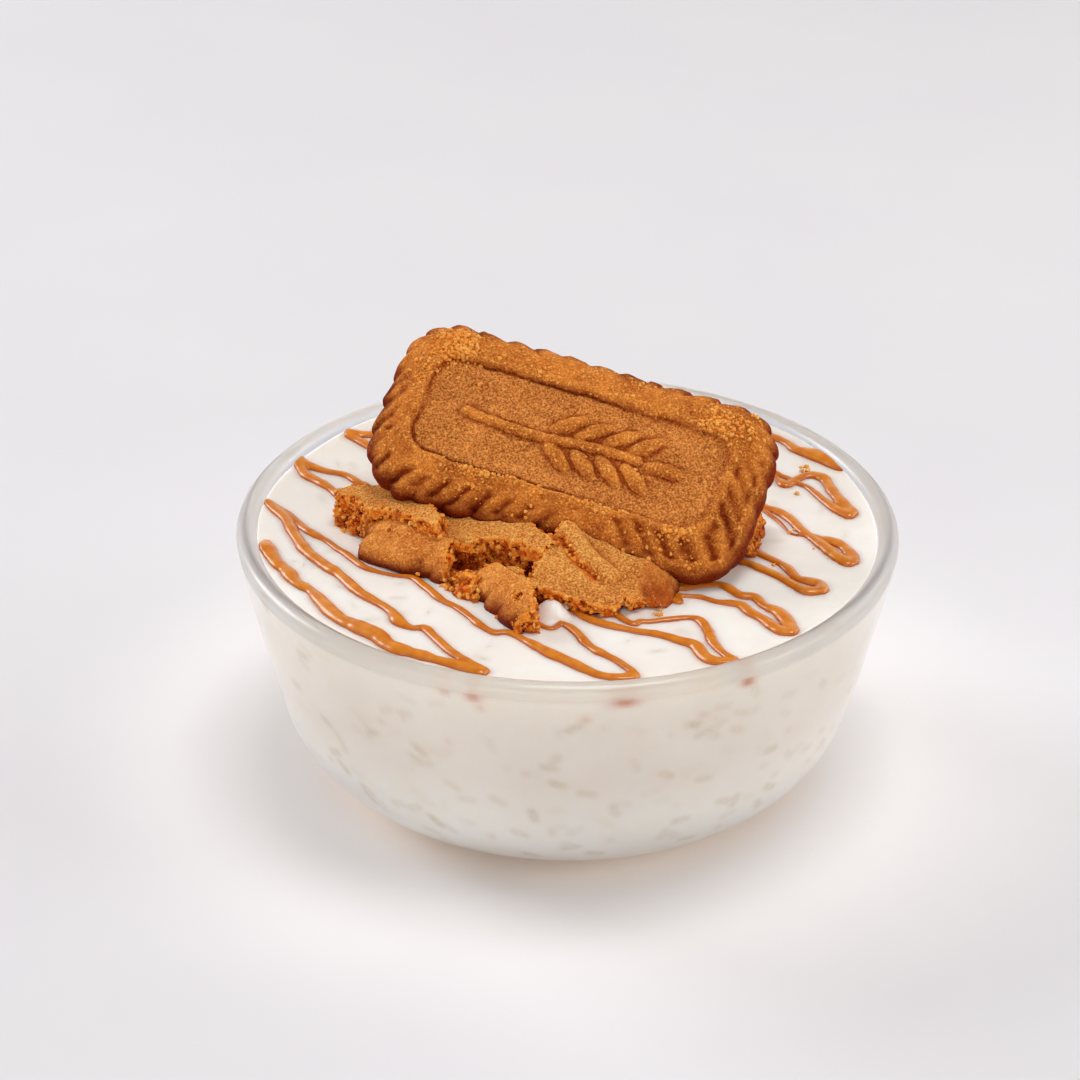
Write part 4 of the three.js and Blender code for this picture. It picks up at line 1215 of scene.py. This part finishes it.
def make_crumbs(whole, broken, material):
    """The sugar on the whole biscuit, the crumbs on broken sides, and those that fell on the pudding."""
    draw = np.random.default_rng(41)
    places, normals, sprinkled, _ = whole
    scatter("sugar_crumbs", SUGAR, places, normals, sprinkled, material, "biscuit", draw)
    places = np.concatenate([piece[0] for piece in broken])
    normals = np.concatenate([piece[1] for piece in broken])
    rough = np.concatenate([piece[3] + 0.15 * piece[2] + 0.02 for piece in broken])
    rough *= (places[:, 2] > LEVEL + 0.3) * (normals[:, 2] > -0.6)
    scatter("broken_crumbs", ROUGH, places, normals, rough, material, "broken_biscuit", draw)
    spots, sizes = [], []
    for x, y, count, spread, size in FALLEN:
        for _ in range(count):
            spots.append((x + draw.normal(0, spread), y + draw.normal(0, spread)))
            sizes.append(size * draw.uniform(0.5, 1.1))
    spots, sizes = np.array(spots), np.array(sizes)
    heights = pudding_height(spots[:, 0], spots[:, 1]) + 0.35 * sizes
    add_crumbs(
        "fallen_crumbs", np.column_stack([spots, heights]), sizes, draw.uniform(0.7, 1, len(sizes)), material,
        "broken_biscuit", draw,
    )


# ---------------------------------------------------------------- camera, lights and floor


def make_camera():
    """The camera of the picture."""
    data = bpy.data.cameras.new("camera")
    data.lens, data.sensor_width = LENS, SENSOR
    camera = new_object("camera", data)
    camera.location = Vector(CAMERA_PLACE) * MM
    camera.rotation_euler = Euler([math.radians(angle) for angle in CAMERA_TURN])
    bpy.context.scene.camera = camera


def add_lamp(name, place, size, power, tint="#ffffff"):
    """A soft square lamp, size metres wide, that faces the bowl."""
    data = bpy.data.lights.new(name, "AREA")
    data.size, data.energy = size, power
    data.color = colour(tint)[:3]
    lamp = new_object(name, data)
    lamp.location = place
    lamp.rotation_euler = (Vector((0, 0, 0.03)) - Vector(place)).to_track_quat("-Z", "Y").to_euler()


def make_floor():
    """Pale paper, with a painted warm shadow right under the bowl, painted light around it that thins the
    bowl's shadow, and greyer away from it.
    """
    paper = Material("pale_paper", roughness=0.6, specular_ior_level=0.2)
    away = paper.add("ShaderNodeVectorMath", {0: paper.places}, operation="LENGTH").outputs["Value"]
    # Painted warm tint in the bowl's contact shadow, painted light around it, fading to greyer paper away.
    painted_floor_light_and_shadow = paper.ramp(away, (0.034, "#f4e4d6"), (0.046, "#f6f4f4"), (0.09, "#e9e8eb"), (0.14, "#e3e2e5"))
    paper.set(base_color=paper.times(painted_floor_light_and_shadow, paper.mottled(("#fcfbfc", "#ffffff"), 60, 3)))
    mesh = bpy.data.meshes.new("floor")
    corners = [(x * FLOOR_HALF, y * FLOOR_HALF, 0) for x, y in ((-1, -1), (1, -1), (1, 1), (-1, 1))]
    mesh.from_pydata(corners, [], [(0, 1, 2, 3)])
    mesh.materials.append(paper.made)
    floor = new_object("floor", mesh)


def make_sky(above, level, strength):
    """A plain studio dome, as bright as "above" overhead and as "level" at the horizon."""
    world = bpy.data.worlds.new("studio")
    world.use_nodes = True
    nodes, links = world.node_tree.nodes, world.node_tree.links
    split = nodes.new("ShaderNodeSeparateXYZ")
    links.new(nodes.new("ShaderNodeTexCoord").outputs["Generated"], split.inputs[0])
    ramp = nodes.new("ShaderNodeValToRGB")
    ramp.color_ramp.elements[0].color, ramp.color_ramp.elements[1].color = colour(level), colour(above)
    ramp.color_ramp.elements[1].position = 0.8
    links.new(split.outputs["Z"], ramp.inputs[0])
    links.new(ramp.outputs[0], nodes["Background"].inputs["Color"])
    nodes["Background"].inputs["Strength"].default_value = strength
    bpy.context.scene.world = world


def make_studio():
    """The light, and enough bounces for it to get through the glass."""
    scene = bpy.context.scene
    scene.view_settings.view_transform = "Standard"
    scene.cycles.max_bounces = scene.cycles.glossy_bounces = scene.cycles.transmission_bounces = GLASS_BOUNCES
    make_sky("#101012", "#fff5ee", 1.22)
    add_lamp("left", (-0.8, 0.5, 0.6), 0.45, 5.2, "#fafcff")
    add_lamp("overhead", (0.1, 0.0, 1.0), 0.4, 4.1)
    add_lamp("right", (0.7, -0.1, 0.47), 0.35, 1.5)
    add_lamp("right_back", (0.65, 0.45, 0.5), 0.45, 1.2)
    add_lamp("low_front", (0.0, -1.1, 0.1), 0.6, 1.35)
    add_lamp("front_left", (-0.5, -0.8, 0.5), 0.5, 1.2)
    make_floor()


# ---------------------------------------------------------------- the dessert

make_camera()
make_studio()
make_bowl()
pudding_look = pudding_material()
grain_draw = np.random.default_rng(23)
grains = side_grains(grain_draw) + top_grains(grain_draw)
stroke_axis, plans = stroke_plans()
make_pudding(pudding_look, grains, stroke_axis, plans)
make_grains(pudding_look, grains)
make_caramel(stroke_axis, plans)
whole_look = biscuit_material(
    "baked_biscuit",
    crust=("#8e3e0a", "#f9a348"), panel=("#8c4410", "#faac5a"), crumb=("#742a04", "#c06c20", "#e8983c"),
    specks="#ffbe60",
)
broken_look = biscuit_material(
    "broken_biscuit",
    crust=("#b25009", "#ffb65c"), panel=("#b05209", "#ffc46a"), crumb=("#6c1600", "#de6010", "#ffae44"),
    specks="#ffcc70",
)
whole = make_whole_biscuit(whole_look)
broken = [
    make_broken_biscuit(piece, [WHOLE, *PIECES[:number]], broken_look) for number, piece in enumerate(PIECES)
]
make_crumbs(whole, broken, crumb_material())
